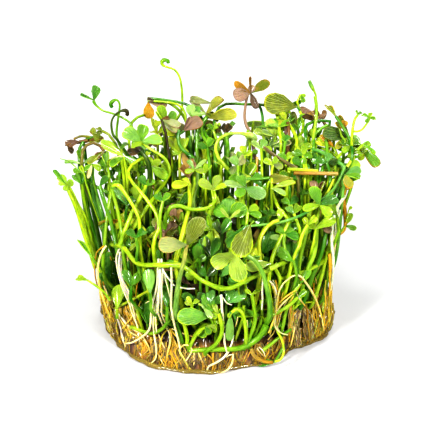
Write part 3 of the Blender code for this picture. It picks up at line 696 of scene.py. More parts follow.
# %% Colours and leaflets of the tall fronds
TALL_FRONDS = (
    (1, "fresh", "lime", (-37.6, 33, -6), (-0.3, -0.8, 0.5), 20, "green_leaf", (
        (138, 3.0, 4.8, "fresh", "green", 10), (25, 2.0, 3.6, "fresh", "lime", 10),
        (-95, 1.5, 3.4, "fresh", "green", 10), (128, 5.0, 1.7, "green", "deep", 50))),
    (2, "deep", "green", (-33.8, 38.3, 3), (0, -0.3, 1), 20, "olive_leaf", (
        (10, 4.4, 3.0, "gloss green", "pale olive", 40), (100, 4.6, 3.2, "green", "olive", 35),
        (190, 4.6, 1.8, "mint", "green", 50))),
    (3, "blue green", "deep", (-33.5, 43.5, 9), (-0.3, -0.3, 0.9), 10, "brown_leaf", (
        (178, 4.6, 2.9, "purple brown", "black brown", 62), (350, 4.4, 3.0, "brown", "olive", 48))),
    (4, "lime", "lime", (-19, 43.9, 3), (0.1, -0.6, 0.8), 12, "lime_leaf", (
        (5, 5.3, 4.2, "gloss green", "lime", 20), (85, 4.6, 4.4, "green", "lime", 20),
        (150, 5.4, 5.4, "gloss green", "lime", 10), (235, 3.6, 3.4, "fresh", "lime", 25))),
    (5, "green", "fresh", (-17.3, 53.8, 21.4), (0, -1, 0.2), 10, "orange_leaf", (
        (-88, 4.2, 3.9, "orange", "gold olive", 6), (-10, 4.8, 2.6, "pink brown", "pink tan", 30))),
    (6, "deep", "deep", (-8.4, 46.6, 8), (0, -0.8, 0.6), 10, "brown_leaf", (
        (32, 5.4, 5.0, "pink brown", "rust", 25), (60, 4.0, 2.6, "purple brown", "pink brown", 40))),
    (7, "deep", "green", (-2.8, 50.8, 14), (-0.1, -0.35, 0.9), 25, "olive_leaf", (
        (38, 6.0, 3.9, "gold olive", "brown", 25), (-60, 2.6, 2.2, "dull olive", "olive", 40),
        (138, 5.4, 2.4, "pale olive", "purple brown", 40), (200, 4.2, 3.2, "mint", "green", 20))),
    (8, "pink brown", "pink tan", (8.3, 56, 16), (0, -0.85, 0.5), 10, "brown_leaf", (
        (34, 5.4, 3.2, "dull olive", "rust", 8), (150, 4.8, 2.4, "rust", "orange", 20),
        (192, 4.4, 5.4, "pink brown", "purple brown", 6), (80, 2.0, 3.6, "pink brown", "tan", 15),
        (92, 4.3, 1.3, "brown", "rust", 60), (291, 4.2, 3.2, "purple brown", "black brown", 35))),
    (9, "fresh", "lime", (17.6, 52.2, 18), (-0.2, -0.7, 0.7), 15, "olive_leaf", (
        (160, 6.4, 6.0, "dull olive", "yellow rim", 22),
        (20, 3.8, 2.2, "green", "deep", 45), (243, 4.4, 4.2, "lime", "fresh", 15))),
    (10, "green", "fresh", (33, 45, 7), (0, -0.6, 0.8), 20, "olive_leaf", (
        (178, 6.8, 6.2, "night", "dull olive", 22), (228, 5.6, 2.6, "gold olive", "yellow rim", 30),
        (118, 6.2, 2.6, "olive", "orange", 55))),
    (11, "lime", "fresh", (36, 42.4, 4), (0.2, -0.7, 0.6), 10, "green_leaf", (
        (-53, 6.4, 4.2, "green", "rust", 35), (-95, 3.6, 2.6, "yellow", "lime", 30),
        (178, 4.2, 3.4, "fresh", "brown", 25), (135, 3.6, 3.2, "gloss green", "lime", 15))),
    (12, "green", "blue green", (32, 35.5, -7), (0.3, -0.4, 0.85), 15, "green_leaf", (
        (30, 4.4, 3.4, "blue green", "mint", 25), (-8, 3.8, 2.4, "green", "fresh", 35),
        (277, 4.8, 3.8, "gold olive", "orange", 20))),
    (13, "green", "lime", (6.9, 32.3, -15.5), (0, -0.45, 0.9), 12, "green_leaf", (
        (-33, 5.7, 5.8, "wet green", "mint", 8), (112, 3.8, 3.8, "green", "gloss green", 25),
        (172, 5.4, 3.4, "mint", "gloss green", 36), (238, 3.6, 3.6, "green", "fresh", 10))),
    (14, "gloss green", "tan", (-7.6, 18, -31.3), (0, -1, 0.25), 12, "olive_leaf", (
        (66, 7.4, 5.6, "dull olive", "pale olive", 14), (176, 6.8, 5.2, "pale olive", "tan", 12))),
    (15, "green", "gloss green", (4.2, 16.2, -31), (0, -0.93, 0.35), 12, "lime_leaf", (
        (62, 6.4, 4.0, "dull olive", "lime", 14), (100, 5.4, 3.6, "deep", "dull olive", 30),
        (212, 6.2, 4.8, "soft lime", "lime", 6), (280, 6.8, 5.8, "soft lime", "lime", 6))),
    (16, "lime", "lime", (13.7, 32.2, -13), (0, -0.6, 0.8), 25, "lime_leaf", (
        (6, 5.8, 3.4, "pale lime", "lime", 52), (-42, 4.4, 2.8, "mint", "lime", 50))),
    (17, "yellow", "lime", (-5.7, 36.8, -8), (0, -0.4, 0.9), 30, "lime_leaf", (
        (32, 3.6, 1.7, "mint", "pale lime", 35), (132, 3.0, 1.8, "gloss green", "mint", 35),
        (230, 3.4, 2.6, "fresh", "lime", 25), (315, 3.5, 2.4, "soft lime", "lime", 30))),
    (18, "green", "lime", (-0.8, 31.8, -17.5), (0, -0.5, 0.85), 20, "lime_leaf", (
        (158, 4.1, 3.6, "soft lime", "lime", 20), (78, 3.8, 3.0, "soft lime", "fresh", 30),
        (15, 3.2, 2.6, "lime", "fresh", 35))),
    (19, "green", "fresh", (25.6, 28, -15.5), (0.1, -0.6, 0.75), 15, "green_leaf", (
        (22, 4.8, 3.6, "deep", "blue green", 25), (112, 4.8, 4.2, "green", "fresh", 15),
        (205, 4.6, 3.4, "fresh", "lime", 40), (-52, 4.2, 3.6, "fresh", "lime", 20))),
    (20, "green", "fresh", (-1.7, 0.2, -30), (0, -0.6, 0.8), 15, "green_leaf", (
        (188, 8.0, 6.4, "wet green", "lime", 16), (98, 5.6, 4.6, "green", "deep", 20),
        (350, 1.7, 3.0, "fresh", "lime", 20))),
    (21, "green", "lime", (9, 49, 33.5), (0.1, 0.6, 0.7), -6, "green_leaf", (
        (6, 5.0, 4.0, "pale lime", "lime", 15), (42, 5.6, 4.2, "pale lime", "lime", 15),
        (76, 5.4, 4.0, "pale lime", "lime", 15), (108, 3.2, 2.8, "mint", "pale lime", 20))),
)
print("leaflets on the tall fronds:", sum(len(row[-1]) for row in TALL_FRONDS))

# %% [markdown]
# ## Dressing the tall fronds
#
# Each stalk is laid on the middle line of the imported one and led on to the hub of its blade. Stalk
# and blade stay two pieces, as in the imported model, so each takes its own finish.

# %% Dress the tall fronds
RECORD_SLOTS = {part["node"]: part["material_slot"] for part in frame["record"]["subparts"]}


ROUND_FOR_SIX_SIDED = 1.04
LATE_TURN = {8: 1.6, 14: 4.0, 15: 1.2}


def gentle(radius):
    """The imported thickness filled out, since a six-sided tube is thinner than a round one."""
    return np.array(radius) * ROUND_FOR_SIX_SIDED


for number, foot_colour, tip_colour, hub_place, facing, lift, leaf_slot, leaflets in TALL_FRONDS:
    middle, radius = STEMS[f"stalk_{number:02d}"]
    hub = at(*hub_place)
    stalk = Sheaf()
    lay_stem(stalk, np.vstack([middle, hub]), list(gentle(radius)) + [radius[-1] * 0.8],
             foot_colour, tip_colour, rings=28, late=LATE_TURN.get(number, 1.0))
    stalk.make(f"dressed_stalk_{number:02d}", RECORD_SLOTS[f"stalk_{number:02d}"], f"stalk_{number:02d}")
    leaf = Sheaf()
    lay_blade(leaf, hub, facing, leaflets, lift=lift)
    leaf.make(f"dressed_leaf_{number:02d}", leaf_slot, f"leaf_{number:02d}")

# %% [markdown]
# ## Young fronds
#
# A young frond comes up as a thin shepherd's crook with a tight bud at its end. Its stalk follows
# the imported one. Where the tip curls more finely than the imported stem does, the curl is drawn on
# the sheet and joined on.

# %% Dress the young fronds
YOUNG_COLOURS = {
    1: ("fresh", "lime", "green"),
    2: ("fresh", "fresh", "gloss green"),
    3: ("green", "fresh", "green"),
    4: ("fresh", "green", "deep"),
    5: ("green", "black brown", "black brown"),
    6: ("deep", "night", "black brown"),
    7: ("lime", "pale lime", "mint"),
    8: ("lime", "lime", "lime"),
}
YOUNG_TIPS = {
    1: (9, ((-10.7, 61.8), (-12.6, 62.5), (-13.7, 63), (-13.9, 63.8), (-13.3, 64.3), (-12.4, 64.1),
            (-12.3, 63.5))),
    2: (8, ((24.6, 55.4), (23.9, 57), (23.3, 58.2), (23, 59))),
    3: (9, ((-30.4, 53), (-31, 54))),
    4: (8, ((-24.5, 51.8), (-24.5, 53.4), (-25.2, 54.3), (-26.1, 54), (-26.7, 53.2), (-26.3, 52.4))),
    5: (8, ((-26.5, 48.6), (-25.7, 50.4), (-24.1, 51.5), (-22.8, 51.6), (-22.5, 50.8), (-22.7, 50.4))),
}
ROUND_BUD, SLIM_BUD = 0.56, 0.3
for number, (foot_colour, tip_colour, bud_colour) in YOUNG_COLOURS.items():
    name = f"young_frond_{number:02d}"
    middle, radius = STEMS[name]
    thick = gentle(radius)
    if number in YOUNG_TIPS:
        kept, drawn = YOUNG_TIPS[number]
        tip = [at(across, up, middle[kept - 1][1]) for across, up in drawn]
        middle = np.vstack([middle[:kept], tip])
        bud = SLIM_BUD if number == 3 else ROUND_BUD
        thick = np.concatenate([np.linspace(thick[0], 0.26, 14), [0.28, bud, 0.45]])
    frond = Sheaf()
    lay_stem(frond, middle, thick, foot_colour, tip_colour, rings=56)
    run = np.concatenate(frond.lays)[:, 2]
    ring_share = (run - run.min()) / (run.max() - run.min())
    bud_share = np.clip((ring_share - 0.9) / 0.06, 0, 1)[:, None]
    frond.shades = [frond.shades[0] * (1 - bud_share) + colour_of(bud_colour) * bud_share]
    frond.make("dressed_" + name, RECORD_SLOTS[name], name)

# %% [markdown]
# ## Runners
#
# A runner is the plant's creeping stem. It is a little swollen at each node, where roots and
# fronds leave it, so its thickness is raised in a soft bump around those places.

# %% Dress the runners
RUNNER_COLOURS = {
    "runner_front": ("lime", "fresh"),
    "runner_right": ("fresh", "lime"),
    "runner_back": ("green", "lime"),
}
RUNNER_NODES = {
    "runner_front": ((-23.8, 17.9, -18.2), (-13.2, 13.1, -27.4), (-9.9, 12.9, -28), (0.7, 6.9, -29.2),
                     (13.4, 12.4, -26.6)),
    "runner_right": ((20.3, 10.7, -19.9),),
    "runner_back": ((-4, 35.6, 28.8),),
}
for name, (foot_colour, tip_colour) in RUNNER_COLOURS.items():
    middle, radius = STEMS[name]
    route = smooth_route(middle, 70)
    swell = np.interp(np.linspace(0, 1, 70), np.linspace(0, 1, len(radius)), np.array(radius) * 0.92)
    for swollen in RUNNER_NODES[name]:
        gap = np.linalg.norm(route - at(*swollen), axis=1)
        swell = swell * (1 + 0.42 * np.exp(-((gap / 0.9) ** 2)))
    runner = Sheaf()
    lay_stem(runner, route, swell, foot_colour, tip_colour, sides=10, rings=70, smooth=False)
    runner.make("dressed_" + name, RECORD_SLOTS[name], name)

# %% [markdown]
# ## Hanging roots
#
# Most hanging roots are two or three strands that run side by side and part at the foot. One thick
# cord would look like a wire, so the strands are laid one by one with a small wobble.

# %% Dress the hanging roots
root_seed = np.random.default_rng(21)
HANGING_COLOURS = {
    1: ("white", "cream"),
    2: ("white", "cream"),
    3: ("white", "cream"),
    4: ("cream", "amber"),
    5: ("white", "amber"),
}
HANGING_STRANDS = {1: 3, 2: 2, 3: 1, 4: 2, 5: 3}
for number, (top_colour, foot_colour) in HANGING_COLOURS.items():
    name = f"hanging_root_{number:02d}"
    middle, radius = STEMS[name]
    count = HANGING_STRANDS[number]
    bundle = Sheaf()
    for strand in range(count):
        turn = 2 * math.pi * strand / count
        aside = np.array((math.cos(turn), 0.5 * math.sin(turn), 0)) * (0.28 if count > 1 else 0)
        spread = np.linspace(1.9, 0.4, len(middle))[:, None]
        wobble = root_seed.normal(0, 0.12, (len(middle), 3))
        radii = [0.24, 0.28, 0.3] if count > 1 else [0.27, 0.3, 0.33]
        lay_stem(bundle, middle + aside * spread + wobble, radii, foot_colour, top_colour, rings=28, sides=7)
    bundle.make("dressed_" + name, RECORD_SLOTS[name], name)

# %% [markdown]
# ## The root mat
#
# Hundreds of fine roots pressed against the cup have grown into a brown felt with upright ribs. The
# felt is a round body with its wall drawn in and out in narrow ribs, stained by long upright streaks
# of amber, tan and purple-brown. The single roots come on top of it.

# %% Mix the felt
def felt_finish():
    made, tree, shader = new_finish("root felt", 0.42, 0.35, 0.15)
    place = node(tree, "TexCoord").outputs["Object"]
    long_way = node(tree, "Mapping", {"Vector": place, "Scale": (900, 900, 110)}).outputs[0]
    streaks = noise(tree, long_way, 1.0, 5.0, Roughness=0.65)
    wide_way = node(tree, "Mapping", {"Vector": place, "Scale": (150, 150, 60)}).outputs[0]
    stains = noise(tree, wide_way, 1.0)
    amber, brown = (*COLOURS["amber"], 1), (*COLOURS["purple brown"], 1)
    honey, dark = (*COLOURS["honey"], 1), (*COLOURS["black brown"], 1)
    colour = blended(tree, "MIX", ramp(tree, stains, 0.45, 0.65), brown, amber)
    colour = blended(tree, "MIX", ramp(tree, streaks, 0.6, 0.8), colour, honey)
    # The low streaks go black-brown: partly the roots' own dark brown, partly painted shade in the grooves
    # where the bump sinks.
    colour = blended(tree, "MIX", ramp(tree, streaks, 0.48, 0.32), colour, dark)
    # Painted shade: towards the top of the wall the felt goes nearly black, as the fronds above shade it.
    height = node(tree, "SeparateXYZ", {0: place}).outputs["Z"]
    painted_shade_on_top = times(tree, ramp(tree, height, 0.0058, 0.0072), 0.85)
    colour = blended(tree, "MIX", painted_shade_on_top, colour, dark)
    tree.links.new(colour, shader.inputs["Base Color"])
    bump = node(tree, "Bump", {"Height": streaks, "Strength": 0.9, "Distance": 0.0008})
    tree.links.new(bump.outputs["Normal"], shader.inputs["Normal"])
    return made


# Near-black wet litter. On the mat's top it is partly real litter and partly painted shade under the fronds;
# on the dark heart it is painted shade.
def litter_and_shade_finish():
    made, tree, shader = new_finish("old wet litter and painted shade", 0.3, 0.4, 0.0)
    place = node(tree, "TexCoord").outputs["Object"]
    scraps = node(tree, "TexVoronoi", {"Vector": place, "Scale": 420.0}).outputs["Distance"]
    litter_and_shade_green, litter_and_shade_brown = (0.012, 0.045, 0.004, 1), (0.05, 0.035, 0.01, 1)
    colour = blended(tree, "MIX", ramp(tree, scraps, 0.2, 0.8), litter_and_shade_green, litter_and_shade_brown)
    tree.links.new(colour, shader.inputs["Base Color"])
    bump = node(tree, "Bump", {"Height": scraps, "Strength": 1.0, "Distance": 0.001})
    tree.links.new(bump.outputs["Normal"], shader.inputs["Normal"])
    return made


FINISHES["root_mat"] = felt_finish()

# %% [markdown]
# ## The mat's round body
#
# The body starts as a cylinder with many upright edges, cut into rings. Its points are then moved
# in and out in code, because the ribs are too many to pull by hand and must meet at the back.

# %% Shape of the mat's foot
FOOT_DENTS = ((1.6, -2.03, 0.44), (-3.3, -0.83, 0.28), (-1.6, -1.38, 0.16), (-1.6, -2.85, 0.27))
FOOT_HEIGHT = 7


def foot_shift(turn, height):
    """How far the mat's foot stands out, and where it is torn back: each dent's depth, turn and width."""
    shape = sum(depth * np.exp(-(((turn - middle) / width) ** 2)) for depth, middle, width in FOOT_DENTS)
    return shape * np.clip(1 - height / FOOT_HEIGHT, 0, 1)

# %% Model the round body
MAT_LOW, MAT_HIGH = (np.array(corner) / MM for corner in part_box("root_mat"))
MAT_RADIUS = (MAT_HIGH[0] - MAT_LOW[0]) / 2
MAT_TOP = MAT_HIGH[2]
bpy.ops.object.select_all(action="DESELECT")
bpy.ops.mesh.primitive_cylinder_add(vertices=300, radius=MAT_RADIUS * MM, depth=MAT_TOP * MM,
                                    location=(0, 0, MAT_TOP / 2 * MM), end_fill_type="TRIFAN")
mat = bpy.context.object
mat.name = "root_felt"
bpy.ops.object.transform_apply(location=True, rotation=True, scale=True)
start_shaping(mat)
pick_edges(mat, 2)
bpy.ops.mesh.subdivide(number_cuts=11)
bpy.ops.mesh.select_mode(type="FACE")
bpy.ops.mesh.select_all(action="DESELECT")
cage = bmesh.from_edit_mesh(mat.data)
for face in cage.faces:
    face.select_set(face.normal.z > 0.9)
bmesh.update_edit_mesh(mat.data)
for step in (1.6, 2.5, 6, 8):
    bpy.ops.mesh.inset(thickness=step * MM)
bpy.ops.object.mode_set(mode="OBJECT")

# %% Draw the ribs into the wall
mat_points = np.empty(len(mat.data.vertices) * 3)
mat.data.vertices.foreach_get("co", mat_points)
mat_points = mat_points.reshape(-1, 3) / MM
turn = np.arctan2(mat_points[:, 1], mat_points[:, 0])
flare = mat_points[:, 2] / MAT_TOP
out = np.linalg.norm(mat_points[:, :2], axis=1)
rib = 0.34 * np.sin(turn * 61 + 1.4 * np.sin(turn * 7)) + 0.26 * np.sin(turn * 97 + 2 + 2 * flare)
swell = 0.45 * np.sin(turn * 5 + 1) + 0.35 * np.sin(turn * 13 + 2 * flare)
shoulder = np.interp(flare, (0, 0.08, 0.3, 0.6, 0.85, 1), (-0.9, -0.35, -0.3, -0.9, -2.0, -3.6))
on_wall = out > MAT_RADIUS - 0.5
wall_growth = (rib + swell - 0.4) * (0.3 + 0.7 * flare) + shoulder
grown = np.where(on_wall, wall_growth, shoulder.min() * (out / MAT_RADIUS) ** 4)
grown = np.where(mat_points[:, 2] < 0.01, np.where(on_wall, -0.9, 0), grown)
grown = grown + foot_shift(turn, mat_points[:, 2]) * on_wall
mat_points[:, :2] *= (1 + grown / np.maximum(out, 1))[:, None]
on_top = mat_points[:, 2] > MAT_TOP - 0.05
mat_points[on_top, 2] -= 0.7 + 0.4 * np.sin(turn[on_top] * 9) + 0.3 * np.sin(turn[on_top] * 23)
mat.data.vertices.foreach_set("co", (mat_points * MM).ravel())

# %% Give the mat its finishes
mat.data.materials.append(FINISHES["root_mat"])
mat.data.materials.append(litter_and_shade_finish())
# Faces that look up take the near-black litter finish: partly real litter, partly painted shade under the
# fronds.
for face in mat.data.polygons:
    face.material_index = int(face.normal.z > 0.6)
bpy.ops.object.shade_smooth_by_angle(angle=math.radians(60))
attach(mat, "root")
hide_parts("root_mat")
print("felt radius:", round(float(MAT_RADIUS), 2), "mm, height:", round(float(MAT_TOP), 2), "mm")

# %% [markdown]
# ## Fronds drawn one by one
#
# Past the tall fronds there are some two hundred and forty more to draw. They are too many for the
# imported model, so they are drawn here, on the same sheet. Each row is a line of text in three parts.
# The first gives the colours of the stalk from foot to tip, or one colour for both, its thickness at
# foot and tip, the word loose if it needs no foot on the mat, and the side that its leaflets face.
# The second is its route: across, up and depth for each place. The third is its leaflets, if it has
# any: where the tip lies across and up the sheet, the width, the colour and the rim's, and the fold.

# %% Read a table of drawn fronds
FACINGS = {"up": (0, -0.7, 0.7), "sky": (0, -0.35, 0.95), "front": (0, -0.9, 0.4)}


def numbers(text):
    return tuple(float(value) for value in text.split())


def colour_pair(words):
    """The two colours in these words. One colour alone counts for both."""
    names = [name.strip() for name in " ".join(words).split(">")]
    return names[0], names[-1]


def table_lines(table):
    """The lines of a table. One that starts with spaces goes on from the line above it."""
    return table.strip().replace("\n  ", " ").splitlines()


def read_fronds(table):
    rows = []
    for line in table_lines(table):
        stalk, route, blade = line.split(":")
        words = stalk.split()
        loose = "loose" in words
        *colours, thick_foot, thick_tip, side = [word for word in words if word != "loose"]
        leaflets = []
        for leaflet in filter(str.strip, blade.split(";")):
            across, up, width, *own_colours, fold = leaflet.split()
            leaflets.append((*numbers(f"{across} {up} {width}"), *colour_pair(own_colours), float(fold)))
        rows.append((*colour_pair(colours), float(thick_foot), float(thick_tip), not loose,
                     FACINGS[side], [numbers(place) for place in route.split(";")], leaflets))
    return rows


def read_roots(table):
    rows = []
    for line in table_lines(table):
        root, route = line.split(":")
        *colours, thick = root.split()
        rows.append((*colour_pair(colours), float(thick), [numbers(place) for place in route.split(";")]))
    return rows

# %% Draw the fronds on the left above
UPPER_LEFT = read_fronds("""
fresh 0.42 0.4 loose front: -30.6 53.2 17; -30.9 54.2 17: -30.1 57.8 3.2 deep > green 30; -34.4 55.8 1.3
  blue green > green 55
blue green > deep 1 0.8 up: -34.1 34.2 4; -34.5 38 5; -34.5 42 7; -33.5 43.9 8; -31.9 44.9 9; -30.4 45 9:
  -31.6 47 2.4 olive > brown 35; -29.1 46.9 2.2 dull olive > olive 30; -28.4 44.5 2.1 brown > olive 40
olive > brown 0.7 0.6 loose up: -31.9 45 9; -34.1 45.2 8; -35.9 44.5 8:
blue green > brown 1 0.8 up: -33.4 33.8 2; -33.9 39.8 3; -33.5 41.8 4; -32.2 43.4 5; -30.6 43.5 5; -28.8
  42.4 5; -28.4 41.5 4: -30.6 39.5 1.9 pink tan > brown 35; -32.4 38.5 1.8 olive > yellow rim 30
deep > green 0.8 0.7 up: -30.9 33.8 -2; -31.1 36.8 -2; -31.4 38.2 -2: -32.4 34.8 1.7 cream > brown 50; -29.1
  36.8 2.2 fresh > lime 35; -33.6 36.5 1.6 green > fresh 35
mint 0.4 0.25 loose up: -35.2 37.2 -3; -35.9 37.9 -3; -37.6 39.1 -4; -39.4 39.6 -4:
green > fresh 0.6 0.5 up: -32.9 33.5 -4; -33.4 36 -4: -36.2 36.9 1.9 green > lime 40; -34.4 37.8 1.4 fresh >
  lime 50
fresh > lime 0.8 0.7 up: -22.4 31.8 -4; -22.8 36.8 -3; -23.4 40.2 -2: -29.1 43.5 2.7 fresh > pale lime 30;
  -26.8 39.5 1.6 cream > pale olive 45; -27 37.8 2.4 green > lime 30; -20.4 38.5 2.2 gloss green > fresh 25
lime 1.2 0.8 up: -15.9 16.2 -24; -15.8 19.4 -23; -14.6 22 -22; -15.1 25.5 -20; -17.1 28.6 -18; -19.7 31.8
  -16; -21.6 34 -14; -22.4 36 -12; -21.6 37.8 -10; -19.2 39.5 -8; -17.9 40 -8: -16.1 39 1.8 fresh > lime 40;
  -17.1 41.5 1.6 lime > yellow 30
fresh 0.9 0.7 sky: -22.1 43.8 14; -21.9 47.2 16; -21.1 49 18; -19.9 50 19; -18.4 50.5 20:
deep 0.9 0.7 up: -3.4 47.2 14; -4.9 51.2 18; -7.6 53.2 20; -11.9 54.1 21; -14.9 54.5 21; -17.4 54.7 22:
fresh > lime 0.8 0.6 up: -7.9 49.8 15; -9.4 52.8 18; -11.6 53.6 19; -14.4 53.9 20; -15.9 54 20: -17.6 54.6
  1.8 purple brown > pale olive 50
green > fresh 0.8 0.7 sky: -13.1 43.8 12; -13.6 47.2 13; -13.9 49 14: -15.1 51.2 2.2 fresh > lime 40; -13.1
  51.5 2.2 blue green > green 30; -15.6 47.8 2.4 yellow > lime 30; -9.9 47.2 3.8 pale olive > pink tan 18
fresh > yellow 0.8 0.7 sky: -14.9 41.8 12; -14.9 44.2 12; -15.1 45.8 13: -15.9 49.2 2 yellow > lime 30;
  -12.4 47.5 2.4 yellow > lime 30; -16.9 47 1.4 lime > yellow 45
night 1.15 0.95 front: -17.6 28 -11; -16.8 33 -10.5; -17 38 -10; -18.1 40.2 -9.5; -19.1 41.5 -9: -22.4 41.2
  2.9 black brown > brown 40
green > olive 0.9 0.7 sky: -24.9 41.8 6; -25.9 43.8 8; -26.6 44.9 9; -27.6 46 10; -28.8 46.5 10: -30.1 47.5
  2 olive > dull olive 35
fresh > lime 0.9 0.8 sky: -23.4 34.8 2; -23.9 39.2 3; -24.1 41.8 4: -28.6 43.2 2.6 fresh > green 40; -22.6
  44.2 2.1 green > lime 35
brown > purple brown 0.7 0.6 loose up: -32.4 44.2 8; -33.9 44 8; -34.6 43.9 8: -37.9 43.1 2.8 purple brown >
  brown 30
brown 0.5 0.5 loose up: -36.6 43.5 8; -37.1 43.4 8; -37.5 43 8: -36.1 41.1 2.2 black brown > brown 35
green > deep 0.9 0.8 up: -22.9 25.5 -8; -22.6 27.8 -7: -25.4 33 3.8 blue green > brown 30; -21.1 30 3.4 deep
  > blue green 25
olive > tan 0.8 0.7 up: -21.6 22.2 -8; -21.6 24.2 -7: -22.9 27.5 2.6 tan > brown 35; -20.6 26.8 2.6 yellow >
  orange 30
green > fresh 0.9 0.8 up: -15.4 29.2 -6; -15.6 31.8 -5: -17.4 34.8 2.6 tan > pale olive 35; -14.4 34.2 2.8
  fresh > lime 30
green > fresh 0.8 0.7 front: -27.1 30.5 0; -27.1 33.2 1; -27.1 34.5 1.5: -29.4 36.5 2.4 green > fresh 35;
  -25.9 36.8 2.4 deep > green 35; -27.9 37.5 2.0 fresh > lime 40
deep > green 0.9 0.8 up: -24.6 31.8 0; -24.6 34.8 2; -24.4 36.2 3: -26.4 38 2.6 green > fresh 30; -22.9 38.8
  2.6 deep > green 35; -21.6 36.8 2.4 fresh > lime 30
green > fresh 0.8 0.7 up: -19.6 33.8 0; -19.9 36.2 2: -21.4 39.2 2.6 fresh > lime 30; -18.1 38.2 2.4 green >
  fresh 30
green > fresh 0.8 0.7 sky: -26.9 33 -2; -27.1 35.8 -1; -27.4 37.2 0: -30.1 40 2.6 green > fresh 30; -28.4
  41.2 2.4 gloss green > lime 30; -26.1 39.2 2.4 fresh > lime 30
lime 1.0 0.8 sky: -7.9 39.2 8; -8.4 41.2 9; -8.9 42.5 10: -10.6 44.8 3.2 yellow > lime 20; -7.6 45 2.6 lime
  > yellow 25
deep 1.3 1.2 sky: -6.4 38 6; -6.9 41.8 8; -7.1 45.2 10:
deep > green 1.1 1.0 sky: -4.9 38 6; -5.1 41.8 8; -5.1 46.2 10; -4.9 48.2 11:
fresh > lime 0.7 0.6 front: -11.4 41.8 12; -11.9 45.8 13; -12.6 48.2 14: -14.9 52.8 3.2 fresh > lime 25;
  -10.6 51.2 3.0 green > fresh 25
deep > green 0.8 0.7 front: -18.9 37.2 10; -19.1 39.8 11; -19.4 41.2 12: -21.1 44 2.8 green > fresh 30;
  -17.6 44.2 3.2 gloss green > lime 25; -17.1 41.2 2.6 deep > green 30
olive 0.5 0.4 loose front: -31.4 46.5 8; -31.1 46 8: -29.1 44 3.0 olive > dull olive 25
brown 0.6 0.5 loose sky: -29.6 42.8 5; -27.9 42 4; -25.9 41 3:
""")

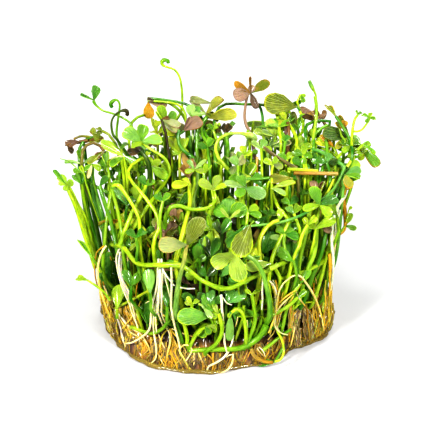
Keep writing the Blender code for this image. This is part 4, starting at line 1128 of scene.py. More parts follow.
# %% Draw the fronds in the middle above
UPPER_MIDDLE = read_fronds("""
black brown 0.8 0.7 sky: -11.9 39.2 2; -12.4 42.2 4; -12.9 45.8 7; -13.9 48.8 9; -13.9 49.5 9: -9.4 47.8 3.2
  pale olive > pink tan 15; -11.9 50 1.8 brown > purple brown 40
green > mint 0.9 0.8 front: -6.1 44.2 10; -6.1 47.2 12; -6.4 49.8 13: -6.9 53.2 3.2 mint > blue green 12;
  -4.6 52.5 2.2 blue green > green 25
deep > green 1.1 0.9 up: -0.4 37.2 3; -1.2 41.8 6; -3.2 44.4 9; -4.1 46.6 11; -3.6 48.8 12; -2.5 50.2 13:
deep 1.2 0.9 up: -5.9 39.2 2; -7.1 40.5 3; -8.4 41.5 4; -9.4 42.8 5; -9.9 44.8 6; -9.5 46.8 7:
deep > green 1.1 1.0 sky: 2.6 37.2 2; 2.6 41.8 5; 2.4 44.2 8; 2.1 46 9: 0.6 48.5 3.4 black brown > purple
  brown 40; 3.1 48 3.0 black brown > brown 40; 1.6 46.5 2.4 purple brown > black brown 40
deep 0.9 0.7 up: -0.9 47.2 14; -0.1 51.5 18; 1.1 52.9 20; 3.1 53.4 21; 6.9 53.2 21; 11.1 53.1 20; 13.1 52.4
  18:
fresh > lime 0.8 0.7 up: 6.4 34.8 -4; 6.6 38 -3; 6.8 40.5 -2: 6.4 43.1 2.4 lime > yellow 15; 8.6 41.2 1.9
  lime > yellow 30
green > pale olive 1.0 0.8 sky: 5.6 31.8 -6; 5.4 35.2 -3; 5.1 38 0: 2.4 41.5 3.4 pale olive > mint 25; 6.4
  41.2 3.2 gloss green > lime 25; 8.4 37.8 3.2 gloss green > lime 20; 3.4 35.8 3.0 pale olive > green 30
green > brown 0.9 0.8 sky: -6.9 30.2 -8; -6.9 32.8 -7; -7.1 34.8 -6: -7.4 39.8 3.8 tan > purple brown 25;
  -9.4 37.8 2.6 brown > tan 35; -5.9 38.5 2.4 pink tan > brown 40
lime 0.8 0.7 sky: -0.9 28 -12; -1.1 30.2 -11; -1.4 31.9 -10: -3.8 34.6 2.8 lime > yellow 20; 1.1 33.2 2.2
  lime > yellow 25
fresh > green 0.9 0.8 up: -16.9 30.2 -10; -16.8 34.2 -6; -16.8 37.8 -4: -12.6 34.6 3.3 fresh > green 28;
  -14.1 39.2 2.8 lime > fresh 30
fresh > yellow 0.9 0.8 up: -9.4 35.2 0; -9.4 38.2 2; -9.4 40.5 4: -11.8 45 3.2 yellow > lime 25; -8.1 45.4 3
  lime > yellow 30; -7.4 41.8 2.6 yellow > lime 30; -11.4 41.2 2.2 fresh > lime 25
deep > green 1 0.8 up: -1.9 34.8 -2; -2.1 39.2 2; -2.4 42.2 4: -4.9 43.2 2.8 deep > green 25; -1.4 45 2.6
  green > fresh 25; 0.4 42.2 2.8 night > green 30
fresh > lime 0.9 0.7 up: 11.1 34.8 -4; 11.1 39.2 0; 10.9 42 3: 8.6 43.8 2.4 mint > pale lime 25; 12.1 44.5
  2.6 gloss green > mint 20; 13.6 41.8 2.6 fresh > lime 25
lime 0.9 0.7 up: 12.6 39.2 6; 12.1 42.8 9; 11.4 45.2 11: 9.4 47.2 2.6 pale lime > mint 20; 12.1 48.2 2.8
  mint > pale lime 20; 14.4 46.2 2.6 pale lime > lime 20
green > fresh 0.9 0.7 up: 0.4 41.8 8; -0.4 44.8 10; -1.1 46.8 11: 0.6 48.5 2.2 fresh > lime 30; -2.6 48.2 2
  green > fresh 30
fresh > mint 1.3 0.9 up: -5.9 29.2 -9; -5.4 32.2 -8; -5 35.2 -7; -5.2 37.5 -6:
green > mint 0.8 0.7 up: 6.9 41.2 8; 7.4 43 10; 7.6 44.2 10: 9.9 43.2 2.6 mint > pale lime 25; 7.4 46 2 mint
  > pale lime 30
green > mint 0.8 0.6 up: 12.6 37.2 4; 12.6 40.2 6; 12.6 42.5 7: 18.6 43.8 1.7 mint > cream 30; 10.1 44 2.6
  pale lime > mint 20; 15.1 45 2.2 mint > pale olive 35
cream 0.35 0.3 loose up: 14.1 42.8 7; 15.9 42.8 7; 17.9 41.9 7:
purple brown 0.9 0.8 up: 16.6 38 2; 16.9 43 6; 17.1 47.2 9; 17.2 49.2 10: 15.9 51.2 2.2 yellow > lime 25
green > fresh 0.9 0.7 up: 14.4 41.2 6; 14.4 43.5 8; 14.6 45.2 9: 12.6 49.5 3.6 pale lime > mint 15; 16.4
  48.2 3.4 fresh > olive 25; 11.1 46.8 2.8 mint > pale lime 20
fresh > lime 0.9 0.7 up: 19.9 36.2 0; 19.9 39.2 2; 19.9 41.5 4: 21.9 45 3.4 pale lime > lime 12; 23.6 43 2.6
  fresh > lime 30
lime 0.8 0.7 loose up: 15.1 49.5 15; 14.8 51.2 16; 15.4 53 17; 16.1 54 17:
brown > purple brown 0.9 0.8 up: -11.4 18 -16; -11.6 20.5 -15: -13.6 23.5 3 pink tan > purple brown 40;
  -10.1 24 2.8 purple brown > pink tan 40
brown > pink tan 0.9 0.8 up: -10.4 21.8 -12; -10.4 23.8 -11: -11.9 28.5 3.2 pink tan > purple brown 35; -9.1
  26.8 2.6 tan > pink tan 35
green 0.9 0.8 up: -14.9 17.5 -16; -15.1 19.8 -15: -17.6 22.2 2.8 deep > green 30; -14.4 23.8 2.8 green >
  deep 30; -16.9 19.2 2.6 deep > blue green 30
green > lime 0.9 0.8 up: 1.1 16.2 -20; 1.4 18.2 -20: -2.1 21.5 2.8 yellow > lime 30
deep > green 1 0.8 up: -4.4 38 8; -4.1 41.8 10; -3.9 43.8 11: -5.9 45.8 2.6 green > fresh 30; -2.4 46 2.6
  deep > green 30
green > fresh 0.9 0.8 up: 8.1 36.2 2; 8.4 39.2 4; 8.6 41.2 6: 7.1 39.2 2.6 fresh > lime 30; 10.1 41.2 2.6
  green > fresh 30
fresh > lime 0.9 0.8 up: 0.9 33.8 0; 0.9 36.2 2; 1.1 38 3: -0.9 40 2.8 fresh > pale lime 30; 2.6 40.2 2.8
  green > lime 30
green > fresh 0.9 0.8 up: -3.6 31.2 -4; -3.4 33.8 -3; -3.4 35.8 -2: -5.4 37.8 2.8 green > fresh 30; -1.9
  38.2 2.8 fresh > lime 30
deep > green 1.0 0.8 front: 3.4 20.2 -17; 3.1 22.8 -18; 2.9 25.2 -18.5: -0.6 27.5 5.2 green > deep 12; 2.9
  29.5 5.8 wet green > deep 10; 7.1 28 5.6 green > lime 12
deep > green 0.9 0.8 sky: 12.6 21.2 -14; 12.6 23.8 -14; 12.6 25.2 -14: 10.1 23.2 3.0 deep > green 30; 14.6
  26.8 3.0 green > deep 30; 11.1 27.2 2.8 deep > wet green 30
pale olive 0.5 0.4 loose front: -2.6 51.2 15; -1.9 52.5 15; -1.6 53.5 15.5: -7.1 54.5 2.3 pale olive > pink
  tan 20
rust > orange 0.8 0.7 sky: 9.9 33 -4; 9.9 36.2 -2; 9.9 40 0:
deep > green 0.9 0.8 loose sky: 7.4 34.5 -6; 10.1 34.5 -6.5; 13.1 34.8 -7:
green > fresh 0.9 0.8 sky: 8.6 31.8 -4; 8.9 34.8 -2; 9.1 37.2 0: 7.6 39.8 2.8 deep > green 30; 10.6 39.2 3.0
  green > fresh 30; 11.1 36.8 2.4 deep > green 30
deep 1.1 1.0 sky: 2.1 39.2 8; 2.1 42.2 10; 2.1 45.2 11:
fresh > lime 0.9 0.8 sky: 12.6 33 -7; 14.4 34 -7; 15.9 34.5 -7: 12.9 36 2.8 gold olive > lime 30; 17.6 36 3
  soft lime > lime 30
green > fresh 0.9 0.8 sky: 8.1 44.2 8; 7.9 45.8 9; 7.6 46.5 10: 9.6 44.2 2.4 mint > pale lime 35
deep > green 0.9 0.8 sky: 16.1 38 0; 16.6 41.2 2; 16.9 43.8 4: 15.4 46 2.4 green > fresh 30; 18.1 45.2 2.6
  deep > green 30
blue green > deep 0.8 0.7 sky: 11.6 44.2 12; 11.4 48 14; 11.1 51.2 16; 10.1 53.5 18; 8.6 54.5 19:
green > fresh 0.8 0.7 sky: -16.4 33 -2; -16.4 35.2 0; -16.4 36.8 1: -15.4 39.2 2.6 pink tan > tan 30; -17.9
  39 2.4 green > fresh 30; -14.4 37 2.8 green > lime 25
deep > green 1.0 0.8 front: -0.9 41.8 7; -3.1 45.8 11; -3.6 48.2 13; -2.6 49.8 14: 4.4 51.2 4.0 gold olive >
  yellow rim 20
pale olive > olive 0.8 0.7 front: -10.4 41.8 9; -10.4 43.8 10; -10.4 45.2 11: -9.4 49 4.2 pale olive > pink
  tan 12; -13.4 46.8 2.8 yellow > lime 25
green > fresh 0.8 0.7 front: 5.1 33.8 -8; 5.1 36.2 -7; 5.1 37.8 -6: 3.6 40.2 3.4 gloss green > pale olive
  22; 7.1 40 3.0 pale olive > pink tan 25
deep > green 1.0 0.8 front: -10.4 31.8 3; -10.6 34.2 4; -10.9 36.2 5: -13.9 38.5 3.2 fresh > lime 25; -9.4
  38.8 3.2 green > lime 25; -12.9 34.8 2.8 green > fresh 25
pink brown > brown 0.8 0.7 front: -12.4 17.8 -17; -12.6 19.8 -18; -12.9 21 -18.5: -15.6 23.2 3.4 purple
  brown > pink tan 30; -10.4 23.8 3.2 pink brown > purple brown 30; -14.9 19.8 2.6 pink tan > purple brown
  35
deep > green 0.9 0.8 front: -3.1 11.2 -22; -2.9 13.5 -22.5; -2.9 15 -23: -5.9 17.8 3.8 wet green > deep 20;
  0.1 17.8 3.6 wet green > green 20; -5.4 13.8 2.8 deep > wet green 30
yellow > lime 0.9 0.8 front: -2.9 31.8 3; -2.9 36.2 6; -3.1 39.2 8: -4.9 42.5 3.2 yellow > lime 20; -1.1
  42.5 3.2 lime > yellow 20; -3.1 43.8 2.4 yellow > lime 30
lime > yellow 0.9 0.8 front: 1.1 30.8 0; 1.1 34.2 3; 1.1 36.8 5: -0.6 40 3.0 lime > yellow 25; 3.1 39.5 3.0
  yellow > lime 20
green > fresh 0.9 0.8 front: 5.6 28.2 -10; 5.6 30.8 -8; 5.6 32.5 -7: 3.4 35.5 3.2 green > fresh 20; 7.6 35.8
  3.4 soft lime > lime 20; 5.6 36.2 2.6 deep > green 25
deep > green 0.9 0.8 front: 11.1 28.2 -10; 11.1 30.8 -8; 11.1 32.5 -7: 9.1 35.8 3.2 deep > green 22; 13.4
  32.8 3.0 green > fresh 22
olive > gold olive 0.8 0.6 front: 18.6 29.2 -9; 18.9 32.2 -9; 18.6 34.8 -9: 12.4 34.5 2.8 gold olive > rust
  22
green > fresh 0.9 0.8 front: 7.6 29.2 -6; 7.6 32.8 -4; 7.6 34.8 -3: 5.9 38.2 3.0 green > fresh 22; 9.1 38.5
  3.0 fresh > lime 22
""")

# %% Draw the fronds on the right above
UPPER_RIGHT = read_fronds("""
lime 1.2 0.9 sky: 17.6 33.8 -6; 18.5 38.2 -2; 19.1 40.1 1; 19.8 42.4 4; 19.8 44.6 6; 18.8 46.8 9; 17.7 48.4
  11: 19.4 51.2 2.2 green > gloss green 25; 17.1 50.2 1.8 fresh > lime 35
lime 1 0.7 up: 19.9 41.2 4; 20.2 44.5 8; 21.3 46.2 10; 21.5 48.4 12; 20.8 51.2 15; 20 53 17; 20.1 54.8 18;
  20.8 55.6 18: 21.5 53.6 2 green > fresh 45; 22.1 55.2 1.4 fresh > lime 50
green > fresh 0.9 0.8 up: 31.4 34.2 -2; 31.1 37.8 0; 30 39.9 3; 27.3 41.8 6; 24.1 42.8 9; 22.6 44.2 10:
olive > brown 0.9 0.8 sky: 28.1 43 14; 27.6 46.8 16; 26.4 49 17: 20.9 52 2.8 pink tan > brown 35; 22.1 49.5
  2.8 tan > purple brown 35; 26.9 51.8 2.0 brown > black brown 45; 23.9 52 2.2 purple brown > tan 50; 20.6
  51.2 1.8 black brown > brown 50
deep 1.0 0.8 sky: 33.6 39.2 -2; 33.1 44.2 2; 31.4 47.5 5; 29.6 50.2 7: 27.4 53.2 2.3 olive > orange 40
green > fresh 0.7 0.6 up: 32.1 42.8 3; 31.1 45.2 5; 30.6 47 6: 32.2 49.2 2.4 orange > yellow rim 20; 29.9
  48.8 1.8 olive > orange 40
lime 0.8 0.6 loose sky: 33.6 42.8 0; 33.6 44.5 2; 33.9 47.5 3; 34.4 49.5 4; 35.1 50.5 4: 36.1 51.5 1.4 green
  > lime 40; 34.6 51.5 1.0 green > fresh 50
lime 0.55 0.45 loose up: 34 46.4 3; 35.1 46.4 3; 36.2 46.9 3; 37.1 48 3; 37.9 49.1 3; 38.1 49.8 3: 36.1 50.9
  1.5 green > lime 35; 38.4 51.1 1.5 fresh > lime 35; 39.6 49.6 1.5 green > lime 30; 37.1 48.8 1.2 green >
  lime 30
fresh 0.9 0.8 loose sky: 32.9 39.8 0; 33.1 41.2 1; 33.1 42.8 2: 30.4 44.5 2.7 green > fresh 25; 33.6 45.5
  2.5 fresh > lime 25; 31.6 41 2.6 fresh > green 30; 35.9 43.8 2.3 green > lime 30
tan > rust 1.0 0.95 loose front: 30.1 35.8 -7; 24.6 35.9 -8; 19.1 36 -9:
yellow > lime 0.9 0.8 loose sky: 25.1 36.5 -7; 21.1 36.8 -8; 17.6 37 -9:
olive > purple brown 1.2 0.9 sky: 20.1 36.2 -7; 18.1 38 -4; 14.9 40 0; 12.1 42 3; 10.4 43.5 5:
green > tan 0.9 0.8 up: 25.9 28 -11; 25.6 30 -10; 25.1 31.6 -9: 23.5 34.1 2.9 pink tan > purple brown 25;
  26.9 33.8 2 brown > pink tan 40
fresh > lime 0.9 0.8 sky: 15.9 42.8 4; 15.6 45.8 7; 15.4 47.5 8: 13.1 49 2.8 gloss green > lime 22; 16.4 50
  2.2 yellow > orange 25; 18.1 49 2.2 green > fresh 25; 9.9 47.8 2.4 green > mint 25
green > fresh 0.9 0.7 up: 24.9 39.2 2; 24.6 42.2 5; 25.1 44.8 8: 22.9 46.5 2.4 fresh > lime 30; 25.6 47.2
  2.2 green > fresh 35; 27.4 45 2.4 deep > green 30
fresh > lime 0.9 0.7 up: 21.9 34.2 -6; 21.6 38 -2; 21.4 40.2 0: 19.1 41.8 2.6 green > mint 25; 21.9 43 2.4
  fresh > lime 30; 23.9 40.8 2.6 green > fresh 25
deep 1 0.8 up: 28.1 33 -8; 27.9 36.8 -5; 27.4 38.5 -4: 24.6 39.5 2.8 deep > blue green 30; 28.1 41.2 2.6
  blue green > green 30; 30.4 38.8 2.6 night > green 30
green > fresh 0.7 0.6 loose sky: 34.6 40 -1; 35.4 40.2 0; 36.1 40.8 0: 33.6 42 2.2 fresh > lime 30; 37.6
  42.8 2.0 fresh > lime 35
green > lime 0.9 0.7 up: 13.6 33 -8; 13.6 36.2 -5; 13.9 38 -4: 11.6 39.2 2.6 lime > pale lime 25; 15.1 40
  2.4 fresh > lime 30; 16.4 37.5 2.6 pale olive > lime 25
brown > pink tan 0.7 0.6 loose up: 25.6 48.5 12; 24.9 49.2 12: 26.9 51 2 pink tan > purple brown 50; 22.6
  51.2 2.4 tan > purple brown 45; 21.1 50.2 2.2 brown > black brown 45; 24.1 51.9 1.8 pink tan > tan 55
deep 0.9 0.8 up: 22.1 44.2 6; 21.9 47.2 9; 23.1 48.6 10; 25.6 49.1 11; 27.9 49.1 11; 28.4 48.2 10; 27.9 47.5
  9:
deep > green 0.9 0.8 up: 24.1 41.8 4; 24.1 44.8 7; 25.1 46.5 8; 27.6 48 9:
green > lime 0.8 0.7 up: 30.1 38 2; 29.9 40.5 4; 29.1 42.5 5: 24.6 44.4 3.4 yellow > lime 20; 26.1 45.8 2.2
  orange > yellow rim 35
fresh > lime 0.9 0.7 loose sky: 33.1 38.2 -1; 33.4 39.2 0; 33.6 40.5 1: 31.1 44.8 3.0 pale lime > fresh 20;
  33.4 44.5 2.0 brown > black brown 50; 35.9 44 3.4 fresh > gloss green 20; 36.6 42.5 2.4 green > fresh 35
fresh > lime 0.6 0.5 loose sky: 35.1 41.8 -1; 35.9 42.5 -1; 36.4 43.2 -1: 39.6 41.2 1.6 green > fresh 45
lime 0.9 0.8 up: 28.1 35.5 -3; 29.9 39.8 0; 33.1 42.2 2:
yellow > lime 0.9 0.8 loose sky: 32.4 37.5 -3; 33.4 39 -2; 34.6 40.2 0:
deep > green 1 0.8 up: 25.1 34.2 -4; 25.1 37.2 -1; 25.4 39.2 1: 22.6 41 3 deep > green 30; 26.1 42 3 green >
  fresh 25; 28.1 40 2.8 fresh > lime 30; 23.6 38.5 2.8 green > deep 30
green > fresh 1 0.8 up: 29.4 33.8 -5; 29.4 36.2 -3; 29.4 37.8 -2: 27.4 39.2 2.8 fresh > lime 30; 30.6 40 2.6
  green > fresh 30; 31.6 37.8 2.6 green > fresh 30; 27.9 36.8 2.6 lime > pale lime 35
deep 1 0.8 up: 20.6 33.8 -5; 20.9 36.2 -3; 20.9 37.8 -2: 18.9 39.8 3 deep > green 30; 21.9 39.8 3 green >
  fresh 30; 23.1 37.2 2.8 deep > blue green 30
blue green 1.1 1 up: 31.9 36.2 -4; 29.4 39.2 -1; 26.1 41.2 2; 23.6 41.8 4; 21.9 42.2 5:
lime 0.9 0.8 up: 22.6 33.8 -5; 22.1 38 -2; 21.4 40.5 1; 19.6 43 4:
green 1 0.9 up: 26.1 36.2 -4; 27.1 39.2 0; 27.4 42.2 3; 27.1 44.2 6:
fresh > lime 0.9 0.8 up: 17.1 35.5 -3; 17.1 38 -1; 17.4 39.2 0: 15.4 41 2.6 green > lime 30; 18.4 41.2 2.6
  fresh > lime 30
green > fresh 0.9 0.8 up: 28.9 41.8 6; 29.1 44 7: 27.1 45.8 2.4 green > fresh 35; 30.6 46 2.2 deep > green
  35
fresh > lime 0.9 0.8 up: 23.1 43 8; 22.9 45.2 9: 21.4 47.2 2.2 fresh > lime 35; 24.6 47.2 2.4 green > fresh
  35; 23.6 45 2.4 deep > green 35
deep > green 0.9 0.8 up: 31.6 39.2 2; 31.6 41.2 3: 29.9 43 2.4 deep > green 35; 33.1 42.5 2.4 green > fresh
  35
deep 0.9 0.8 front: 20.6 41.8 8; 20.4 44.8 10; 20.1 46.8 12: 17.9 51.2 3.2 dull olive > brown 22; 21.4 50.8
  2.6 green > lime 30; 18.4 48 3.0 green > fresh 25
green > fresh 0.9 0.8 front: 33.6 32.8 -5; 33.4 34.8 -4; 33.1 36.2 -3: 31.4 38.2 3.2 blue green > deep 22;
  35.4 38.8 3.4 fresh > lime 22; 35.1 35.2 3.0 blue green > green 25
deep > green 1.0 0.8 front: 18.1 30.2 -9; 18.1 32.8 -8; 18.1 34.2 -7: 15.6 36.2 3.2 green > lime 22; 20.6
  36.2 3.2 deep > green 25
deep > green 0.5 0.4 loose front: 20.6 51.5 13; 19.9 52.5 13.5: 12 53.8 7.6 dull olive > yellow rim 18
fresh 1.0 0.85 sky: 23.4 39.2 2; 23.6 42.5 5; 24.1 45.5 7; 24.6 48.8 9; 24.8 52.2 10.5; 24.4 55.2 11.5:
purple brown > brown 0.9 0.8 sky: 17.4 36.8 2; 17.6 41.8 5; 17.9 45.5 8; 17.6 48.8 9:
deep > green 0.8 0.7 front: 18.1 36.2 3; 18.1 39.8 5; 18.1 41.8 7: 16.9 44.8 2.6 green > fresh 25; 19.1 45
  2.4 fresh > lime 25
green > fresh 0.6 0.5 loose front: 33.6 41.2 0; 34.9 42 0: 38.4 43.5 2.0 fresh > green 30
""")

# %% Draw the fronds on the right side
RIGHT = read_fronds("""
blue green 0.65 0.75 loose sky: 6.4 22.5 -21; 8.6 22.8 -21.5; 12.6 23.2 -21.5; 16.9 24 -21; 22.1 26 -18;
  25.6 28.8 -14; 29.1 32 -9; 30.9 35.2 -6; 31.9 37.8 -4:
yellow 1.2 0.9 front: 10.6 10.5 -27; 10.6 15 -26; 10.4 18.5 -25; 11.4 21.1 -23.5; 13.4 23.4 -22; 15.4 24.2
  -21.5: 16 27 2.2 fresh > lime 12
lime 1.1 0.9 up: 17.1 6.8 -24; 18.6 13.5 -23; 20.4 17.6 -21; 21.2 20.6 -20; 22.6 23 -19: 24.9 25.2 2.6 lime
  > yellow 40; 21.6 24.8 2.2 yellow > lime 30
green > fresh 1.2 1 up: 19.6 6.2 -22; 20.2 11.2 -21; 20.8 15.3 -20; 22 20.2 -18; 22.9 25.5 -16; 23.4 28.2
  -15:
green > fresh 1.3 1.1 up: 20.4 4.2 -21; 22.1 10.8 -19.5; 24.2 15.8 -18; 24.8 21.1 -16; 24.6 25.8 -14; 25.1
  29.2 -13:
deep > green 1.4 1.1 up: 21.1 3 -20; 23.1 8.8 -18; 25.8 15.5 -16; 27.1 21.6 -13; 27.6 26.2 -11; 28.1 30.2
  -9:
green > fresh 1.2 1 up: 26.1 4.2 -13; 27.4 10.5 -12; 28 16.8 -11; 28.1 22.8 -10; 27.9 28.2 -9; 28.6 31.8 -8:
fresh > lime 1.1 0.9 up: 23.6 3 -17; 25.4 8 -16; 26.9 13.8 -14; 28.4 19.8 -12; 29.1 25.8 -10: 29.6 27.8 2.6
  deep > blue green 25; 26.9 27.5 2.2 green > deep 30
green > deep 1 0.9 up: 19.6 6.8 -22; 19.9 9.8 -22; 19.9 12.1 -22: 18.1 20 4 deep > green 12
white 0.8 0.7 loose front: 31.9 30.2 -6; 29.9 27.2 -11; 28.9 23.8 -13.5; 28.6 18.5 -14.5; 29 15 -14; 28.8
  10.5 -13; 27.9 5.2 -11.5:
orange > amber 1.2 0.7 loose up: 31.4 29.8 -5; 31.9 26.2 -6; 31.8 22 -7; 30 20.2 -8:
fresh > lime 0.6 0.5 loose up: 29.9 19.2 -8; 30.9 21.2 -7.5; 31.9 22.8 -7: 33.4 25.9 1.9 fresh > green 20;
  34.8 22.1 1.7 green > lime 30
fresh > lime 0.4 0.3 loose up: 32.1 23.8 -7; 32.6 25.8 -7; 32.9 26.9 -7: 33.6 27.6 0.9 fresh > lime 20
lime > yellow 1 0.9 up: 26.9 19.2 -13; 26.9 21.2 -12.5; 26.9 22.8 -12: 29.5 25.2 2.6 lime > yellow 20; 25.1
  24.5 2 fresh > lime 30
green > fresh 1 0.8 up: 16.9 15.5 -22; 16.6 18.5 -21; 16.9 20.8 -20: 14.6 22.2 2.8 green > fresh 25; 18.9
  22.8 3 green > blue green 25; 20.4 19.8 3 deep > green 25
fresh > lime 1 0.8 up: 7.1 21.2 -21; 7.4 24.2 -20; 7.6 26.2 -19: 10.1 27.8 2.8 fresh > lime 25; 11.1 25.2
  2.6 green > fresh 30
fresh > lime 0.9 0.8 front: 3.1 19.2 -22; 2.9 21.8 -21.5; 3 24.5 -21: 0.9 27 0.9 pale lime > lime 20; 5.6 27
  0.9 pale lime > lime 20
lime 1 0.8 up: 20.6 21.2 -19; 19.9 23.8 -18; 19.1 25.8 -17: 17.4 27.8 2.6 gloss green > fresh 25; 20.6 28.2
  2.6 fresh > lime 25
green > orange 0.9 0.7 up: 31.4 27.8 -6; 31.6 29.8 -5; 31.9 31.8 -5: 30.6 34.2 2.6 olive > orange 35; 33.6
  33.2 2.4 orange > olive 25
green > fresh 0.9 0.8 up: 30.1 20.5 -14; 30.1 23.2 -13; 30.1 25 -13: 27.1 27 3.2 blue green > gloss green
  20; 27.4 29.5 2.8 fresh > lime 30
fresh > lime 0.9 0.8 up: 24.1 18.5 -18; 24.4 20.5 -17; 24.6 22 -17: 21.6 24 3.2 fresh > lime 25; 29.1 25 3.4
  fresh > lime 25; 23.4 25.2 2.4 lime > yellow 40
olive > yellow 0.8 0.6 up: 25.6 27.8 -11; 27.6 31.2 -9.5; 29.1 34.5 -8:
yellow > olive 0.7 0.5 up: 23.9 27.8 -12; 25.4 30.5 -11; 26.9 34 -9:
green > fresh 0.9 0.8 up: 18.1 25.5 -12; 18.1 28 -11: 16.4 29.8 2.8 green > fresh 30; 19.9 30 2.8 deep >
  green 30; 18.6 27.2 2.6 fresh > lime 35
deep > green 0.9 0.8 up: 21.1 28 -9; 21.1 30.5 -8: 19.6 32.5 2.8 deep > green 30; 22.9 32 2.6 green > fresh
  30
green > fresh 0.8 0.6 loose up: 31.1 32.8 -5; 32.1 33.8 -5: 35.1 34.8 2.2 green > fresh 30
deep > green 0.9 0.8 front: 20.6 16.8 -16; 20.6 19.2 -17; 20.6 20.8 -17.5: 17.6 22.8 3.6 wet green > deep
  22; 23.6 23 3.4 green > deep 25; 18.1 18.5 2.8 pale olive > pink tan 30
green > fresh 0.9 0.8 front: 26.1 18.8 -13; 26.1 21.2 -14; 25.9 22.8 -14.5: 23.6 25.2 3.2 deep > wet green
  25; 28.9 25.5 3.4 green > fresh 25; 28.6 21.5 2.6 pink tan > purple brown 30
""")

# %% Draw the fronds on the left side
LEFT = read_fronds("""
fresh > lime 0.95 0.7 front: -28.4 6.8 -8; -29.6 12.2 -7.5; -31.1 18 -7; -33.1 25 -6; -34.9 28.2 -6; -36.1
  30.8 -6; -37.1 32.5 -6:
green 1.3 1.1 up: -28.4 6.8 -5; -29.8 13.8 -4.5; -30.9 18.5 -4; -32.4 23.8 -3; -33.4 29.8 -2; -34.2 36.2 -1:
deep > green 1.2 1 up: -27.9 10.5 -2; -29.5 19.2 -1; -31.6 29 1; -32.9 36.2 3:
deep 1.6 1.2 up: -27.1 9.2 -8; -28.1 19 -6; -28.6 24.6 -4; -30 29.4 -2; -32 35.8 1:
deep > green 0.9 0.8 up: -25.4 29.2 -4; -27.4 31 -3; -29.4 32.1 -2; -31.1 33.1 -1; -32.6 34 0:
green > fresh 1.1 0.9 up: -28.4 10.5 -14; -28.1 19.2 -12; -27.4 26.2 -9; -26.5 31.8 -6:
green > fresh 1.1 0.9 up: -23.1 13 -20; -23.9 21.2 -17; -25.1 27.2 -13; -26.4 31.8 -10: -24.9 34.2 2.4 green
  > fresh 30
fresh > lime 1.2 1 loose up: -24.4 18 -19.5; -22.9 22.2 -18; -21.1 26.5 -16; -19.1 30.2 -13; -17.9 32.8 -11:
  -19.4 35.2 2.8 deep > green 25; -15.6 34.2 2.6 green > fresh 25
deep > green 1.2 1.0 up: -24.4 13.8 -16; -25.6 19.2 -14; -26.6 23.8 -11; -28.4 29.2 -7; -29.4 32.8 -5: -27.6
  35.2 2.4 deep > green 30
fresh > green 0.9 0.6 loose up: -29.1 11.2 -15; -30.1 13 -15; -31.2 14.8 -15: -34.9 19.1 1.7 green > fresh
  45
fresh > lime 0.7 0.5 loose up: -26.9 4.2 -19; -28.4 6.2 -19.5; -30.1 7.6 -20; -32.5 9.2 -20: -35.5 10.2 2.1
  lime > yellow 25
green > fresh 1 0.8 up: -14.4 23.8 -22; -14.1 26.8 -21; -13.6 29 -20: -15.6 31.2 2.8 deep > green 25; -11.9
  30.8 2.6 green > fresh 30
deep > green 1 0.8 up: -20.1 13.8 -23; -19.9 17.2 -22; -20.4 19.8 -22: -22.4 21.8 3 deep > green 30; -17.9
  22.2 2.8 deep > blue green 30
lime > yellow 1.3 1 up: -10.4 13.8 -27; -9.4 18 -25; -8.4 22.2 -22.5; -7.6 25.2 -20; -6.9 28.2 -17; -7 31.2
  -14; -6.9 33.2 -12: -11.4 32.8 3 yellow > lime 35; -8.6 34.8 2.2 lime > yellow 40
deep > blue green 1.2 0.7 up: -20.9 4.2 -15.9; -21.5 8 -16.6; -22.1 11.2 -16.7; -22.2 13.8 -17.5:
green > fresh 1 0.8 up: -26.6 10 -2.8; -26.5 12.2 -6.8; -26.1 14.8 -8.7:
lime > yellow 1.4 1.2 loose front: -21 3.8 -18.7; -20.2 1.5 -19.9; -19.5 -0.8 -21; -18.9 -3 -21.5:
deep > green 0.8 0.6 front: -25.9 4.2 -9.3; -26 4.5 -11.4; -26.4 5 -11.6: -29.6 9 2.2 deep > green 45; -28.6
  6.2 1.4 green > fresh 60
green > deep 0.7 0.5 loose front: -29.1 8.5 0.2; -29.4 9.2 0.2; -29.4 9.8 0.2: -25.9 8.5 2.4 green > deep
  40; -25.1 6.8 1.6 deep > fresh 50
deep > green 0.8 0.6 front: -17.4 -3.2 -20.8; -17.4 -2.5 -21.7; -17.5 -1.8 -22.1: -17.4 4.5 2.6 deep > night
  18; -19.1 2.8 2.0 deep > green 35
green > deep 0.5 0.4 loose front: -25.1 -3.2 -14.4; -25.1 -3.8 -14.8: -23.4 -8 1.5 deep > green 15
green > fresh 0.6 0.5 loose front: -18.9 -7 -22.7; -19.9 -7.6 -21.9; -21.1 -8.4 -20.8; -22.1 -9.2 -19:
green > fresh 1.0 0.9 front: -30.1 14.2 -6; -32.1 23 -5; -33.4 29.2 -4; -34 33.2 -3: -36.1 36.2 2.6 green >
  deep 30; -33.1 36.2 2.4 deep > green 35
deep > green 1.0 0.8 front: -24.9 4.2 -7; -25.1 8 -6; -25.4 10.2 -6: -26.4 13.5 3.2 deep > night 20; -24.1
  13.8 3.2 deep > green 20; -26.6 10.2 2.8 green > deep 25
lime 0.9 0.8 loose sky: -30.6 12.2 -9; -32.2 17.2 -9; -33.5 21.2 -8.5; -34.9 25.8 -8; -35.9 28.5 -8; -37 31
  -7; -37.6 32.2 -6.5:
yellow > lime 1.0 0.9 sky: -20.9 3.5 -18.5; -21.9 6.5 -18.5; -22.6 9.5 -18.5; -23.1 12.2 -18:
""")

